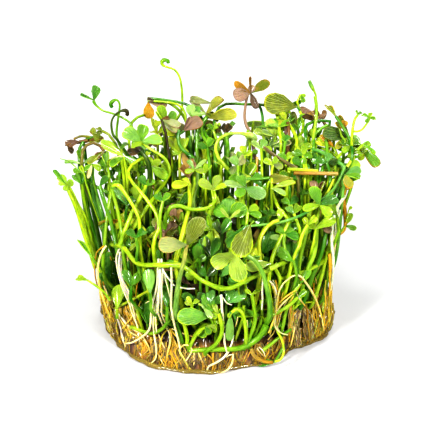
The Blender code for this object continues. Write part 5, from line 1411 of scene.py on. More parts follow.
# %% Draw the fronds low in front
FRONT = read_fronds("""
fresh > green 1.1 1.6 loose up: -6.9 -8.5 -28.7; -3.1 -8.2 -29.2; 1.1 -8.1 -29.5; 5.6 -7.8 -29; 8.6 -6.5
  -28.5; 10.9 -4.5 -28.1; 12.1 -2.2 -28.1:
green > lime 1.1 1 front: -2.9 -8.8 -29.6; -0.4 -6.8 -30; 1 -4.2 -30; 1 -1.8 -30; 0.2 0.8 -29.5: -3.1 2.8
  2.4 lime > pale lime 45; -0.9 3.2 1.8 pale lime > lime 40
green > lime 1 0.9 up: -7.1 -8.2 -28.4; -6.1 -5.8 -28.9; -4.6 -3.5 -29.8; -3.1 -2.5 -30.2: 0.4 -2 1.7 pale
  lime > mint 40; -1.6 -4.2 2.6 green > fresh 30
fresh > lime 0.9 0.8 front: -6.6 -0.2 -29; -6.4 1.8 -29; -6.4 3.2 -29: -7.6 5.1 1.8 lime > pale lime 40;
  -4.6 4.5 1.8 lime > pale lime 40; -8.2 3.5 1.5 pale lime > lime 40
green > blue green 0.9 0.7 front: 4.9 -4.2 -26.1; 4.6 -1.2 -27.2; 3.9 0.8 -28.1; 3.2 1.2 -28.6: 3.1 -6 2.7
  gloss green > blue green 30
fresh > lime 1.1 0.9 front: 7.1 -6.2 -29; 7.1 -2.8 -29.5; 6.2 1 -29; 4.9 1.9 -28.5; 3.6 1.2 -28.5: 2.6 -0.2
  1.6 lime > fresh 40
green > fresh 1.1 0.9 front: 7.6 -6.2 -28.5; 9.4 -1.2 -28.5; 9.1 2.8 -28; 8.6 5.5 -27.5: 7.1 7 1.5 fresh >
  lime 40; 11.1 7.8 1.8 fresh > lime 40
fresh > lime 0.9 0.8 up: 12.1 -3.8 -24.9; 11.8 -1.2 -25.7; 11 0.4 -26.3: 3.6 1.5 2.9 green > lime 24
deep > green 0.8 0.7 up: 16.6 -7 -23.4; 15.6 -9.2 -25.1; 14.4 -11.2 -26.3: 9.9 -11.8 2.6 green > deep 15
lime 0.6 0.55 loose front: 14.4 -11.2 -29; 15.9 -10.5 -29; 16.6 -8.5 -27.5; 16.1 -5.8 -26.5; 14.9 -3.5 -26:
green > lime 0.9 0.7 loose front: -25.1 -0.2 -17.5; -25.1 0.8 -18; -25.1 2 -18.5: -24.9 8 3.9 lime > fresh
  14
green 0.9 0.7 front: -25.9 5.2 -13; -26.6 6.8 -13; -27.4 8.2 -13: -29.4 11.2 2.6 deep > green 25; -27.4 16.2
  3.0 deep > green 20
deep > green 1 0.8 front: -16.6 1.8 -27; -16.6 3.8 -27; -16.8 5.8 -27: -17.1 12.1 3.6 gloss green > deep 12
deep > green 1 0.8 front: -12.6 -0.8 -28; -12.6 1 -28; -12.6 2.5 -28: -12.9 7.8 2.6 deep > blue green 15
deep > green 0.9 0.8 front: -1.9 -0.2 -28; -1.9 1.8 -28; -1.9 3.2 -28: -1.6 7 2.8 blue green > deep 15; 1.4
  4.8 2.6 deep > night 25
deep > night 0.9 0.8 front: 2.1 -0.2 -28; 2.1 1.8 -28; 2.1 3.5 -28: 7 6.2 3.4 blue green > gloss green 20;
  3.6 7.2 2.6 deep > blue green 25
green > lime 1 0.9 front: 15.6 9.2 -25; 14.6 11.8 -26; 13.4 13.5 -26.5: 7.4 12.4 3.6 pale lime > lime 20
green 0.9 0.8 front: 19.6 9.2 -23; 19.6 11.8 -23.5; 19.1 13.8 -24: 14.9 16.8 3.2 green > fresh 25
deep > green 0.9 0.8 front: -4.4 13.8 -26; -4.6 15.2 -26; -5.1 13.8 -26: -5.1 18.2 3.4 green > deep 20; -2.9
  15.5 2.4 gloss green > green 25
deep > night 0.9 0.8 front: -1.4 11.8 -26; -1.4 13.8 -26; -1.6 15 -26: -3.9 20.2 3.2 night > blue green 25;
  0.1 19.8 3 deep > gloss green 25; 0.9 16.8 2.4 night > green 30
deep > night 0.9 0.8 front: 1.1 16.8 -25; 1.1 19.2 -25; 1.1 20.8 -25: -0.9 24.2 2.9 night > green 30; 2.9
  24.5 2.9 deep > green 25
green > deep 0.9 0.8 front: -21.6 4.2 -24; -21.6 6.2 -24; -21.6 7.8 -24: -23.1 11.8 2.8 deep > green 20;
  -19.4 10.8 2.6 green > fresh 25
green > fresh 0.9 0.8 front: 5.4 4.2 -26; 5.4 6.8 -26; 5.4 8.2 -26: 2.6 9.2 2.4 deep > green 30; 8.1 9.8 2.4
  green > fresh 30
yellow 1 1 loose up: 11.9 11.5 -27; 13.4 12.2 -26.8; 14.6 12.9 -26.6:
green > fresh 1 0.9 front: 16.1 -3.2 -24; 17.1 1.2 -24; 18.6 5.2 -23; 20.6 8.2 -22: 22.9 11.8 2.4 green >
  fresh 30
green > fresh 1 0.9 front: 12.6 -0.2 -27; 15.1 1.2 -26; 18.1 3 -25; 20.1 4.8 -24: 22.1 6.8 2.2 green > lime
  35
lime > green 1 0.9 up: -21.6 -2.5 -20.2; -17.9 -3.8 -23.5; -16.1 -4.1 -25.1; -13.6 -2.8 -27.2; -12.1 -0.8
  -27.9:
lime > yellow 0.8 0.6 up: -25.6 2 -13; -23.1 3.4 -18; -20.1 5 -22.5; -16.9 6.8 -25.5:
fresh > lime 1.1 1 front: -7.5 -7.2 -27.9; -7.6 -5 -28.3; -8.1 -2.5 -28.4; -8.6 -0.5 -28.2:
green > deep 1.2 1 front: -8.6 -6.5 -27.2; -9.4 -4 -27.3; -10.4 -1.2 -27.3:
deep 0.9 0.8 front: -5.1 -0.2 -26.4; -5.1 1.2 -27.1; -5.1 2.8 -27.7: -8.4 6 2.8 deep > night 25; -3.6 6.2
  2.8 night > blue green 25; -6.9 4.2 2.0 deep > gloss green 35
pale lime > mint 0.7 0.6 loose front: -4.6 3.2 -28.9; -3.9 2.9 -29.5; -3.4 2.2 -30: -1.4 -0.2 1.9 mint >
  pale lime 25
green > fresh 0.9 0.8 front: -0.4 -5.2 -28; -0.1 -2.8 -28.6; -0.6 -0.8 -29.1: 1.1 2 2.6 green > lime 45; 1.6
  -1.5 2.0 fresh > lime 40
brown > black brown 0.7 0.6 up: -7.9 4.2 -21.4; -7.6 6.8 -22.6; -6.9 8.2 -23.8: -1.4 6.2 2.4 black brown >
  brown 20; -9.9 10.2 2.0 purple brown > black brown 30
brown > tan 0.7 0.6 sky: -3.1 1.2 -22.7; -3.1 3.2 -24; -2.9 4.5 -24.6: 2.1 3 2.8 brown > purple brown 15;
  0.1 5.2 2.4 tan > purple brown 25; -5.4 4.8 2.2 brown > black brown 30
purple brown > pink tan 0.7 0.5 loose up: -16.9 12.2 -21.3; -14.9 12.1 -23.2; -12.9 11.8 -24.2; -9.9 11.8
  -25:
fresh > green 1 0.8 front: 11.6 -8.2 -26.8; 13.4 -6.8 -26.1; 15.6 -5 -24.7; 18.4 -3 -22.3:
green > deep 1.3 1 front: 7.1 -7 -28.6; 9.6 -5.2 -27.8; 12.6 -3.2 -26.3; 15.9 -2 -24:
olive > fresh 0.9 0.8 front: 4.6 -5.2 -27.7; 5.6 -2.8 -27.6; 6.4 -0.2 -27.3; 6.6 2.8 -27:
green > fresh 1 0.8 front: 8.1 -7 -27.9; 10.1 -3.2 -27; 11.1 0.2 -26.1; 10.9 4.2 -25.7:
deep > green 0.9 0.8 front: 18.1 -4.5 -22.4; 18.1 -3.5 -22.4; 18 -2.8 -22.6: 16.9 2.2 3.2 deep > green 18;
  19.9 0.8 2.2 green > fresh 35
lime > yellow 0.5 0.4 loose front: 19.2 2 -21.7; 20.1 3 -21.4; 21.6 3.5 -19.9; 23.9 3.8 -17:
fresh > lime 0.6 0.5 front: 18.1 -2.8 -22; 18.5 0.2 -21.9; 19.1 3 -21.5:
green > fresh 0.9 0.8 front: 22.4 3 -15.9; 23.6 5.2 -14.6; 25.1 7.8 -12.5; 26.6 10.8 -9.2:
lime > yellow 0.8 0.6 front: 25.9 -0.2 -12; 26.4 2.8 -10.7; 27.1 6.2 -7.8:
green > lime 0.9 0.8 front: 20.6 4.2 -18.2; 22.4 6.5 -17.1; 23.6 9.2 -16.2; 24.4 12.2 -15.1: 22.6 14.8 1.9
  pale lime > lime 20
lime > pale lime 1.2 1.3 loose up: 13.1 12 -28.2; 14.4 12.6 -27.8; 15.2 13.2 -27.6:
deep > green 1 0.8 front: -11.9 4.2 -23.1; -12.4 8 -24; -12.9 11.2 -24.2: -14.9 13.8 2.6 deep > green 25;
  -11.4 14.2 2.8 green > deep 25
green > deep 1 0.8 front: -18.6 4.2 -18.2; -18.1 6.8 -20.2; -17.9 9.2 -21.1: -16.4 11.8 3.0 green > deep 20;
  -19.9 11.8 2.4 deep > green 30
deep > green 0.9 0.8 front: -2.4 4.2 -25.6; -2.6 8 -26.6; -2.6 10.2 -26.9: -5.1 12.2 3.0 deep > blue green
  20; -0.4 12.2 3.0 night > deep 20
deep > night 0.9 0.8 front: 5.6 3 -25.2; 5.9 6.8 -26.2; 5.9 8.8 -26.5: 3.1 10.2 3.0 deep > night 20; 8.1
  11.2 3.2 blue green > deep 20; 6.4 13.8 2.6 green > deep 30
lime > fresh 0.9 0.8 front: -6.6 -6.8 -27; -5.6 -4.5 -27.5; -3.6 -2.2 -28; -1.1 -1.5 -28.3: -4.6 -5.2 3.0
  green > lime 45; -0.4 -3.8 1.8 fresh > lime 45
green > olive 0.5 0.4 loose front: 9.1 24 -31; 8.2 23 -32: 4.8 15.2 6.6 dull olive > lime 22
green > olive 0.5 0.4 loose front: 7.4 23.2 -32.5; 7.1 22.8 -32.6: 1.6 17.5 2.8 deep > dull olive 25
""")

# %% [markdown]
# ## Single roots
#
# The roots that stand out from the mat are drawn one by one on the same sheet. Each line gives
# the colours at the root's two ends, or one colour for both, its thickness, and its route.

# %% Draw the single roots
FREE_ROOTS = read_roots("""
white > cream 0.55: -24.5 17 -17.3; -25.2 15.2 -16.3; -25.2 13.5 -16.2; -24.8 11.2 -16.7; -24.1 8.5 -17.6;
  -23.2 6 -18.7; -22.1 3.5 -19.9; -21.4 1.2 -21.1; -20.4 -1.2 -22.4; -19.9 -2.8 -23.1
white > cream 0.5: -23.4 16.8 -18.3; -23.8 14.8 -17.7; -24 12.5 -17.4; -23.7 9.8 -17.7; -22.9 7 -18.6; -21.8
  4.2 -19.8; -21 1.8 -20.9; -20.2 -1.8 -22.2
cream > honey 0.4: -23.6 16.5 -17.5; -24.2 13.8 -16.6; -23.9 10.8 -16.9; -22.9 7.2 -18.2; -21.6 4.5 -19.6;
  -21.1 2 -20.3; -21.4 0 -20.5; -22.6 -1.5 -19.6; -23.8 -2.9 -18.9
honey > amber 0.45: -22.5 10 -17.9; -22.2 7.8 -18.1; -21.8 5.2 -18.7; -21 2.8 -19.6; -20.1 0 -21; -19.5 -2
  -21.9
amber > orange 0.4: -19.5 10.5 -20.7; -20.1 7.8 -20; -20.5 5 -19.5; -21.1 3.2 -19
cream > amber 0.4: -27.6 17 -5.1; -27.1 15.8 -7.8; -26.5 14.2 -9.9
cream > honey 0.6: -27.8 17.8 -17; -28.8 16.4 -17; -29.5 14.5 -16.5; -29.9 12.2 -16.5; -29.9 10 -17; -29.4
  7.2 -17; -28.5 4.5 -17; -27.6 2 -16.5; -26.8 -0.1 -16
honey > amber 0.5: -30.1 12.8 -14; -29.8 10 -14; -29.4 7.5 -14; -28.9 5 -14; -28.1 2.8 -14; -27.5 1 -14
amber 0.5: -28.6 8.8 -15; -28.1 6.8 -15; -28 4.8 -14.5; -28.2 2.8 -13.5; -27.6 0.8 -13
cream > honey 0.45: -28.4 7.8 -16; -27.6 6 -16; -27.2 4 -15; -27.6 2.2 -13; -28.2 0.5 -9
honey > amber 0.5: -29.4 6.8 -12; -29.1 4.2 -11; -28.5 2 -9; -28.2 -0.2 -8
amber > honey 0.5: -26.9 5 -16; -27 3.2 -15; -26.6 1.2 -14; -26.9 -0.8 -13
white > cream 0.5: -25.8 1.8 -13.2; -25 -0.2 -15.2; -24.2 -2.8 -17.2; -23.8 -5.2 -18.3; -22.9 -7.5 -19.4
cream > honey 0.4: -25.6 1.8 -13.3; -24.5 -0.2 -15.7; -23.4 -2.2 -17.8; -22.2 -4.8 -19.9
white > honey 0.5: -25.5 1.8 -14.1; -24.1 0 -16.6; -22.5 -2 -19; -20.9 -3.1 -20.9; -19.2 -4.2 -22.5; -17.9
  -6.2 -24; -17 -8 -24.9; -16.5 -10 -25.3
white > cream 0.4: -25.7 1.5 -13.4; -24.6 -1.2 -16.1; -24.1 -3.5 -17.6; -23.4 -5.8 -18.8
cream > amber 0.4: -25.5 1.5 -13.3; -23.6 -0.8 -16.8; -21.9 -3.5 -19.7; -21.6 -5.2 -20.4
cream > honey 0.4: -22.1 -3.5 -19.6; -21.1 -4.2 -20.7; -19.6 -5 -22.1; -18.4 -6 -23.3; -17.4 -8.2 -24.3
amber > orange 0.55: -18.8 -5.8 -22.7; -18.6 -7.8 -23; -18.9 -10.2 -22.7
honey > amber 0.45: -16.6 -5 -23.8; -16.4 -7.5 -24.5; -16.1 -10.2 -24.8
honey > cream 0.4: -17.8 -11.2 -23.7; -16.4 -10.5 -24.9; -14.9 -9.5 -25.7; -14.4 -7.2 -25.8; -14.1 -5.8
  -25.5
honey > tan 0.4: -19.6 -3.2 -21; -20.9 -5.2 -20.6; -21.6 -7.2 -19.9; -21.4 -9 -20
tan 0.5: -21.1 -3.5 -19.7; -21.9 -5.8 -19.4; -22.1 -8.2 -19.1
white > cream 0.6: -14.7 14.5 -26; -14.9 11.8 -25.9; -15 8.8 -25.9; -15.5 6 -25.5; -16.2 3.5 -25.1; -16.6
  0.5 -24.9; -16.8 -2.2 -25.3; -17.5 -3.8 -25.1; -19.5 -5.4 -24.3; -21.4 -6.4 -23.3; -22.8 -6.6 -22
white > cream 0.5: -14.4 14.2 -25.8; -14.4 11.2 -25.7; -14.4 8.2 -25.7; -15 5.2 -25.3; -15.4 3 -25.1; -16
  -0.8 -25; -15.8 -4.5 -25.8; -15.3 -8 -27; -15.5 -10.5 -27; -16.9 -11.8 -26.2
white > cream 0.5: -14 14.5 -26.4; -13.7 11.8 -26.5; -13.8 9 -26.5; -14.1 6.8 -26.3; -14.9 3.5 -25.9; -15.5
  -0.2 -25.6; -15.2 -3.8 -26.4
white > cream 0.4: -13.8 13.8 -25.8; -13.1 10 -26.1; -12.2 6.5 -26.5; -11.5 3 -26.8; -11.2 1 -26.9
white 0.5: -14 13.8 -26.4; -13.6 11.8 -26.6; -12.6 10.1 -27; -11.5 8.8 -27.4; -10.8 7.8 -27.7
white > cream 0.65: -11.5 12.8 -27.7; -11.4 8.5 -27.7; -11.5 5 -27.6; -11.5 2.2 -27.6; -11.1 -0.2 -27.8;
  -10.5 -3 -28.4; -9.8 -5.8 -29; -9.4 -7.8 -29.6
white 0.45: -9.4 7.4 -27.3; -7.6 7.1 -27.8; -5.6 7.1 -28.2
white > cream 0.35: -14.6 7.5 -25.6; -13.6 4.8 -26.1; -12.4 2 -26.6; -11.4 -0.8 -27.1
cream 0.3: -17.9 3.5 -22.3; -17.1 3.9 -22.9; -16.2 3.6 -23.5
cream > honey 0.35: -14.9 2.5 -24.9; -14.4 1.5 -25.2; -13.1 0.1 -25.9
honey > amber 0.4: -15.1 1.2 -24.2; -15.4 -2 -24.6; -15.5 -5.2 -25.2
cream > honey 0.5: -12.9 -2.4 -25.9; -12 -4 -26.5; -11.8 -6.2 -27; -12.4 -8.8 -27.5; -12.8 -11.8 -27.4
honey > amber 0.45: -12 -2.8 -26; -11.5 -4.5 -26.5; -11.8 -7 -27; -12.6 -9.5 -27.1
amber > honey 0.4: -11.8 -2.8 -26.1; -10.6 -4.5 -26.8; -8.8 -6.1 -27.7
cream > amber 0.35: -11.4 -2.9 -26.3; -8.6 -4.1 -27.3; -5.4 -5.2 -28.2
honey > amber 0.4: -12.4 -3 -25.7; -13.8 -4.8 -25.4; -14.2 -7.5 -25.9; -15.1 -10 -25.6
cream > tan 0.4: -14.8 -4.2 -24.7; -13.6 -7 -26; -12.1 -9.8 -27; -10.6 -11.8 -27.6; -9.6 -13 -27.8
amber > orange 0.4: -11.6 -3.8 -25.8; -10.9 -6 -26.5; -11.4 -8.2 -27; -12.4 -10.2 -26.7
orange > amber 0.5: -9.9 -6.8 -27; -11.4 -7.5 -26.7; -12.4 -9.2 -26.5; -12.9 -11.2 -26.4
honey > cream 0.5: -6.9 -13.5 -29.4; -7.8 -11.5 -29.2; -8.9 -9.5 -28.8; -9.5 -8.4 -28.4; -9 -7.4 -28.3; -7.9
  -7 -28.5; -6.8 -7.4 -28.8; -6.4 -8.4 -29.1; -7.1 -9.8 -29.3; -8 -11.1 -29.1
cream > honey 0.6: -5.8 -8.8 -28.7; -5.8 -10.8 -28.9; -5.9 -13 -28.9
cream > honey 0.4: -5 -8.4 -28.8; -4.4 -9.8 -29.2; -3.6 -11.5 -29.3; -3.2 -13.2 -29.4
honey > amber 0.45: -4.4 -8.2 -28.9; -2.9 -9.1 -29.2; -1.8 -10 -29.4; -0.9 -11.1 -29.5
honey > amber 0.4: -4.6 -7.5 -28.4; -3.6 -9.2 -29; -2.9 -11.2 -29.2; -2.8 -13.2 -29.2
cream 0.35: -3.6 -8.8 -28.9; -3.1 -10.8 -29.1; -3.4 -13 -29.2
tan > brown 0.4: -10.6 -7.8 -26.9; -9.9 -10.2 -27.4; -9.6 -12.8 -27.4
amber 0.4: -10.6 -8.2 -27.1; -10.1 -10.8 -27.4; -8.6 -13 -27.8
white > cream 0.6: 2.9 -8.5 -29.2; 1.8 -9.9 -29.6; 0.4 -11 -29.7; -1.1 -11.8 -29.7; -2.2 -12.4 -29.7; -2.6
  -13.4 -29.7
cream 0.5: 3.9 -9.2 -29.4; 3.8 -11 -29.6; 2.9 -12.8 -29.7; 1.4 -13.8 -29.8; -0.4 -14 -29.7
white 0.45: 4 -4.5 -28.7; 3.5 -6.8 -29.1; 2.6 -8.6 -29.6; 1.6 -10 -30
white > cream 0.55: 1.7 -4 -29.2; 1.8 -6.5 -29.5; 2.4 -9 -30.1
white 0.35: 1.4 4.8 -28.5; 2.4 3.5 -28.5; 3.6 3 -28.3
white > cream 0.3: 4.1 -9.4 -29.2; 3.1 -9.5 -29.3; 2.1 -10.1 -29.4
cream > tan 0.35: 5.1 0 -27.8; 4.9 -1.2 -28; 4.4 -2.5 -28.2
cream 0.4: 7.4 -0.8 -27.4; 7.5 -2.8 -27.7; 7.5 -4.5 -28
white 0.5: 11.3 9.5 -27.3; 11.2 6.8 -27.4; 11.3 4.2 -27.3; 11.1 1.8 -27.4
tan > orange 1.1: 8.4 -7.8 -28; 9.1 -9.5 -28.1; 10.4 -10.6 -27.8; 12.1 -11.2 -27.1; 13.8 -11.4 -26.4
cream > tan 0.35: 9.9 -7.8 -27.4; 10.6 -8.8 -27.4; 11.6 -9.8 -27.1
white > cream 0.35: 10.4 -7.5 -27.2; 11.4 -8.5 -27.1; 12 -10 -26.9
white > cream 0.5: 13.1 9 -26.8; 14 8 -26.4; 14.6 6.5 -26.1; 14.6 4.2 -26; 14.5 1.8 -26.1
honey > cream 0.5: 13.8 7.8 -26.5; 14.5 5.8 -26.1; 14.9 3.5 -25.9; 14.5 1 -26.1; 14.1 -1 -26.5; 14.6 -2.8
  -26.5; 15.9 -4 -26.1; 17.5 -4.5 -25.3
amber > honey 0.45: 14.5 9.2 -25.9; 15 6.8 -25.6; 15.2 4.2 -25.5; 14.9 1.2 -25.6
honey > cream 0.55: 12.8 -4 -28; 13.6 -2 -27.3; 14.4 0.5 -26.6; 14.8 3.2 -26.4; 15.2 5.8 -26.2; 16.2 7.9
  -25.6; 17.6 9.4 -24.8; 19.1 10.3 -23.7; 20.2 10.5 -22.8
cream > honey 0.6: 19.9 10.5 -23.1; 21.1 9.9 -22; 22.4 8.2 -20.8; 23.6 6.4 -19.3; 24.8 4 -17.8; 25.5 1.9
  -17.3; 26.1 0 -16.9
orange > amber 0.4: 20.4 10.2 -22.4; 21.8 9 -21.1; 22.9 7.5 -19.9; 23.9 6 -18.6
orange > amber 0.5: 20.5 10.1 -21.8; 20.9 8.9 -21.4; 20.5 7.5 -21.7; 19.6 6.5 -22.5
amber > honey 0.45: 15 3.1 -26.1; 16.1 4.2 -25.4; 17.6 5.4 -24.5; 19.1 6.4 -23.4; 19.8 6.5 -22.9
cream > honey 0.45: 14.9 1.5 -26.1; 15.9 2.9 -25.6; 17.4 4.4 -24.6; 18.9 5.8 -23.6
cream > honey 0.4: 19.6 6.5 -22.5; 20.2 5.2 -21.9; 20.9 4.1 -21.3; 21.9 2.8 -20.3
honey > amber 0.45: 19 5.2 -23.2; 17.9 3.5 -24; 16.6 1.9 -24.9; 15.5 0.5 -25.5
orange > brown 0.6: 20.4 4.1 -20.3; 21.8 2.9 -19; 22.5 1 -18.7; 22.6 -1.2 -19; 23 -4 -19.6; 23.1 -5.8 -19.7
tan 0.35: 24.5 9.8 -16; 24.9 7.2 -15.2; 25.2 5 -14.7
orange > tan 0.4: 24.1 8.5 -16.1; 24 5.8 -16.3; 23.8 3 -16.9; 23.9 0 -17.6
honey > amber 0.4: 23.6 4.2 -16.1; 24 1.8 -16.2; 24.1 -0.8 -16.7
cream > honey 0.4: 26.1 0 -13.4; 26.4 -2 -13.9; 26.6 -3.5 -13.5
cream 0.4: 14.6 -1.2 -25.2; 15.1 -3.8 -25.4; 16.1 -5.8 -25.3; 16.6 -7 -25.4
cream > honey 0.4: 19.5 1.5 -21; 19.6 -0.8 -21.3; 19.1 -3.8 -22.4; 18.4 -7 -23.8
amber > orange 0.5: 18.6 3 -21.1; 18.2 -0.2 -21.9; 18.1 -3.2 -22.6; 18 -6.2 -23.6
yellow rim > olive 0.4: 25.1 -0.2 -14.7; 24.6 -2.8 -16.4; 23.9 -5.2 -17.8
yellow rim > olive 0.4: 26.4 1.2 -11.9; 26.6 -1.2 -12.8; 25.9 -3.5 -14.5
honey > yellow rim 0.4: 27.6 3 -8; 28.1 0.5 -8.4; 27.9 -1.2 -9.4
amber > honey 0.45: 28.4 6.8 -12; 28.4 4.2 -12; 28.5 1.2 -11; 28.1 -0.8 -11
amber 0.9: 28 15.8 -14; 28.2 13.8 -14; 28.2 11.8 -14; 28.1 9.8 -14
amber > honey 0.55: 28.1 10.2 -14; 28.1 7.2 -14; 27.9 4.2 -14; 27.8 1.2 -14; 27.9 -1.2 -14
honey > amber 0.45: 28.9 13.8 -11; 28.8 11.2 -11; 28.6 8 -11; 28.5 4.2 -11; 28.6 0.8 -10
tan 0.4: 28.9 3.5 -8; 29 1.2 -8; 28.8 -1.2 -9; 28 -3.2 -11
honey > amber 0.4: 27.1 9.2 -15; 26.9 6.2 -15.5; 27.1 3.2 -15.5; 26.6 0.2 -15.5; 26.9 -2.2 -15
cream > honey 0.42: 13.1 9 -25.4; 14.1 6.8 -24.9; 14.6 3.5 -24.6; 14.4 0.2 -24.9; 13.6 -2.8 -25.7; 13.1 -4.5
  -26.2
white > cream 0.4: 13.9 9.2 -25.4; 14.9 7 -24.9; 14.9 3.8 -24.8; 14.4 0.8 -25.1; 14.6 -1.8 -25.4; 15.9 -4
  -25.1; 17.6 -4.5 -24.2
cream > honey 0.38: 14.6 8.8 -24.4; 15.1 6.2 -24.1; 14.9 2.5 -24.2; 14.6 -0.8 -24.7; 15.1 -3.5 -24.9; 16.4
  -5.8 -24.8; 16.6 -7.8 -25.1
honey > amber 0.4: 15.4 8.2 -23.8; 15.6 4.8 -23.6; 15.1 1.2 -23.9; 14.9 -1.8 -24.5; 15.6 -4.8 -24.7
honey > tan 0.38: 16.4 6.2 -24.1; 15.9 4 -24.4; 15.4 1.2 -24.7; 14.9 -1.2 -25.3; 14.1 -3.8 -26.1; 12.6 -5.8
  -27.1
cream > tan 0.36: 18.4 5.2 -22.4; 17.1 3.5 -23.3; 15.9 1 -24.2; 15.4 -1.2 -24.8; 14.6 -3.5 -25.6
amber > orange 0.42: -28.4 17.8 -14; -30.1 16.2 -13; -30.6 13.8 -11; -30.6 10.5 -10; -29.9 7.2 -10
tan > amber 0.4: -28.6 17.2 -15; -29.4 14.8 -13; -29.6 11.8 -12; -29.1 8.2 -12; -28.6 5.2 -13
honey > amber 0.3: 19.9 6.2 -20; 18.6 3 -21.1; 18.4 -0.8 -21.9; 17.9 -5.8 -23.5
amber > tan 0.3: 20.6 6.5 -19.2; 22.1 3.5 -17.6; 22.6 -0.2 -17.9; 22.9 -4.8 -19
tan 0.28: 21.4 4.2 -18.3; 20.4 0.5 -20; 20.4 -3.8 -21.1; 21.1 -6.8 -21
amber 0.45: 27.9 12.2 -1.9; 28.1 8 0.2; 28.1 3.8 -5; 27.6 -0.8 -9.5
honey > amber 0.4: 28.4 9.2 0.2; 28.1 4.8 -4.3; 27.9 1.2 -8.4; 27.1 -2.2 -11.4
amber > honey 0.5: -28.4 11.8 0.2; -28.9 8.2 0.2; -28.4 5.2 1.3; -27.4 3 -7.3
honey > cream 0.45: -27.4 9.8 -1.6; -26.8 7.2 -7.2; -27.6 5 -4.9; -28.4 3.2 -3.7
cream > honey 0.5: -22.6 15.8 -16.3; -22.1 11.8 -16.9; -21.4 7.8 -17.7; -20.9 4 -18.3
honey > amber 0.45: -19.1 4.2 -20.1; -19.9 1.2 -19.8; -19.1 -1.8 -21; -19.6 -4.2 -21.3
cream > white 0.5: -14.4 13.8 -23.7; -14.2 10.2 -23.7; -14.4 6.2 -23.6; -13.9 3.2 -23.8
""")

# %% [markdown]
# ## Growing what was drawn
#
# A row says only what can be seen. A stalk whose foot is hidden is led down to the mat here, and
# each leaflet lies on the plane of its blade with its tip under the drawn place.

# %% Grow the drawn fronds
BROWNED = ("brown", "tan", "pink tan", "pink brown", "purple brown", "black brown", "cream")
STALK_SLOTS = {"deep": "dark_stem", "night": "dark_stem", "lime": "lime_stem", "yellow": "lime_stem"}
LEAF_SLOTS = {name: "lime_leaf" for name in ("lime", "yellow", "pale lime", "soft lime")}
LEAF_SLOTS.update({name: "olive_leaf" for name in ("olive", "dull olive", "pale olive", "gold olive")})
LEAF_SLOTS.update(orange="orange_leaf", rust="orange_leaf")
DRAWN_FULLER = 1.08
place_seed = np.random.default_rng(77)


def with_foot(route):
    """The route with its lower end led down to the mat, leaning in as it goes."""
    first = route[0]
    if first[2] < MAT_TOP + 2:
        return [first * (0.93, 0.93, 1) - (0, 0, 2.5), *route]
    foot = first * (21.5 / max(np.hypot(first[0], first[1]), 23.0))
    foot[2] = MAT_TOP - 2.5
    middle = foot * 0.5 + first * 0.5
    middle[:2] *= 1.03
    return [foot, middle, *route]


def on_blade(across, up, hub, normal):
    """The place under this spot of the sheet that lies level with the hub on the blade's plane."""
    near, far = at(across, up, -60), at(across, up, 60)
    return near + (far - near) * ((hub - near).dot(normal) / (far - near).dot(normal))


def grow_drawn(region, rows):
    sheaves = {}
    for foot_colour, tip_colour, thick_foot, thick_tip, needs_foot, facing, drawn, leaflets in rows:
        route = [at(*place) for place in drawn]
        hub = route[-1]
        if needs_foot:
            route = with_foot(route)
        route = [np.maximum(place, (-99, -99, 0.5)) for place in route]
        slot = "brown_stem" if foot_colour in BROWNED else STALK_SLOTS.get(foot_colour, "green_stem")
        lay_stem(sheaves.setdefault(slot, Sheaf()), route, (thick_foot / 2, thick_tip / 2),
                 foot_colour, tip_colour, sides=7, rings=26 if len(route) > 4 else 14)
        for across, up, width, shade, rim, fold in leaflets:
            normal = np.array(facing) + place_seed.normal(0, 0.16, 3)
            normal /= np.linalg.norm(normal)
            ahead = on_blade(across, up, hub, normal) - hub
            slot = "brown_leaf" if shade in BROWNED else LEAF_SLOTS.get(shade, "green_leaf")
            droop, cup = place_seed.uniform(-10, 45), place_seed.uniform(0.1, 0.5)
            length = float(np.linalg.norm(ahead))
            lay_leaflet(sheaves.setdefault(slot, Sheaf()), hub, ahead, normal, shade, rim, length,
                        width * DRAWN_FULLER, fold=fold, droop=droop, cup=cup,
                        wave=1.3 if shade in BROWNED else 0.8)
    for slot, sheaf in sheaves.items():
        sheaf.make(f"{region}_{slot}", slot)

# %% Grow the fronds of each side
DRAWN_FRONDS = {
    "upper_left": UPPER_LEFT,
    "upper_middle": UPPER_MIDDLE,
    "upper_right": UPPER_RIGHT,
    "right_side": RIGHT,
    "left_side": LEFT,
    "front_low": FRONT,
}
for region, rows in DRAWN_FRONDS.items():
    grow_drawn(region, rows)
print("drawn fronds:", sum(len(rows) for rows in DRAWN_FRONDS.values()))

# %% Lay the single roots
ROOT_TOPS = {
    "white_root": ("white", "cream"),
    "amber_root": ("honey", "amber", "orange", "tan", "yellow rim"),
}
for slot, tops in ROOT_TOPS.items():
    bundle = Sheaf()
    for top_colour, foot_colour, thick, drawn in FREE_ROOTS:
        if top_colour in tops:
            route = np.array([at(*place) for place in drawn])
            route[:, 2] = np.maximum(route[:, 2], 0.4)
            lay_stem(bundle, route, (thick * 0.46, thick * 0.5, thick * 0.36),
                     top_colour, foot_colour, sides=7, rings=30)
    bundle.make("single_" + slot + "s", slot)

# %% [markdown]
# ## Small fronds
#
# Inside the ring of tall fronds stand some five hundred small ones, in every green. They are placed
# by rule: each foot stands on the mat, each stalk leans out a little and sways, and each blade opens
# at the height the plant has there. A small frond that would stand in front of a drawn one is left
# out, as a gardener would thin it. A fixed seed gives the same plant every time.

# %% Keep the small fronds behind the drawn ones
def on_sheet(places):
    """Across, up and depth on the picture sheet, for places in the model."""
    ahead = np.array(TOWARDS_SHEET)
    away = np.atleast_2d(places) - np.array(EYE)
    scale = EYE_DISTANCE / (away @ ahead)
    up = (away @ np.array(UP_THE_SHEET)) * scale + SHEET_UP_OF_CENTRE
    return np.stack([away[:, 0] * scale + SHEET_CENTRE.x, up, away @ ahead], axis=1)


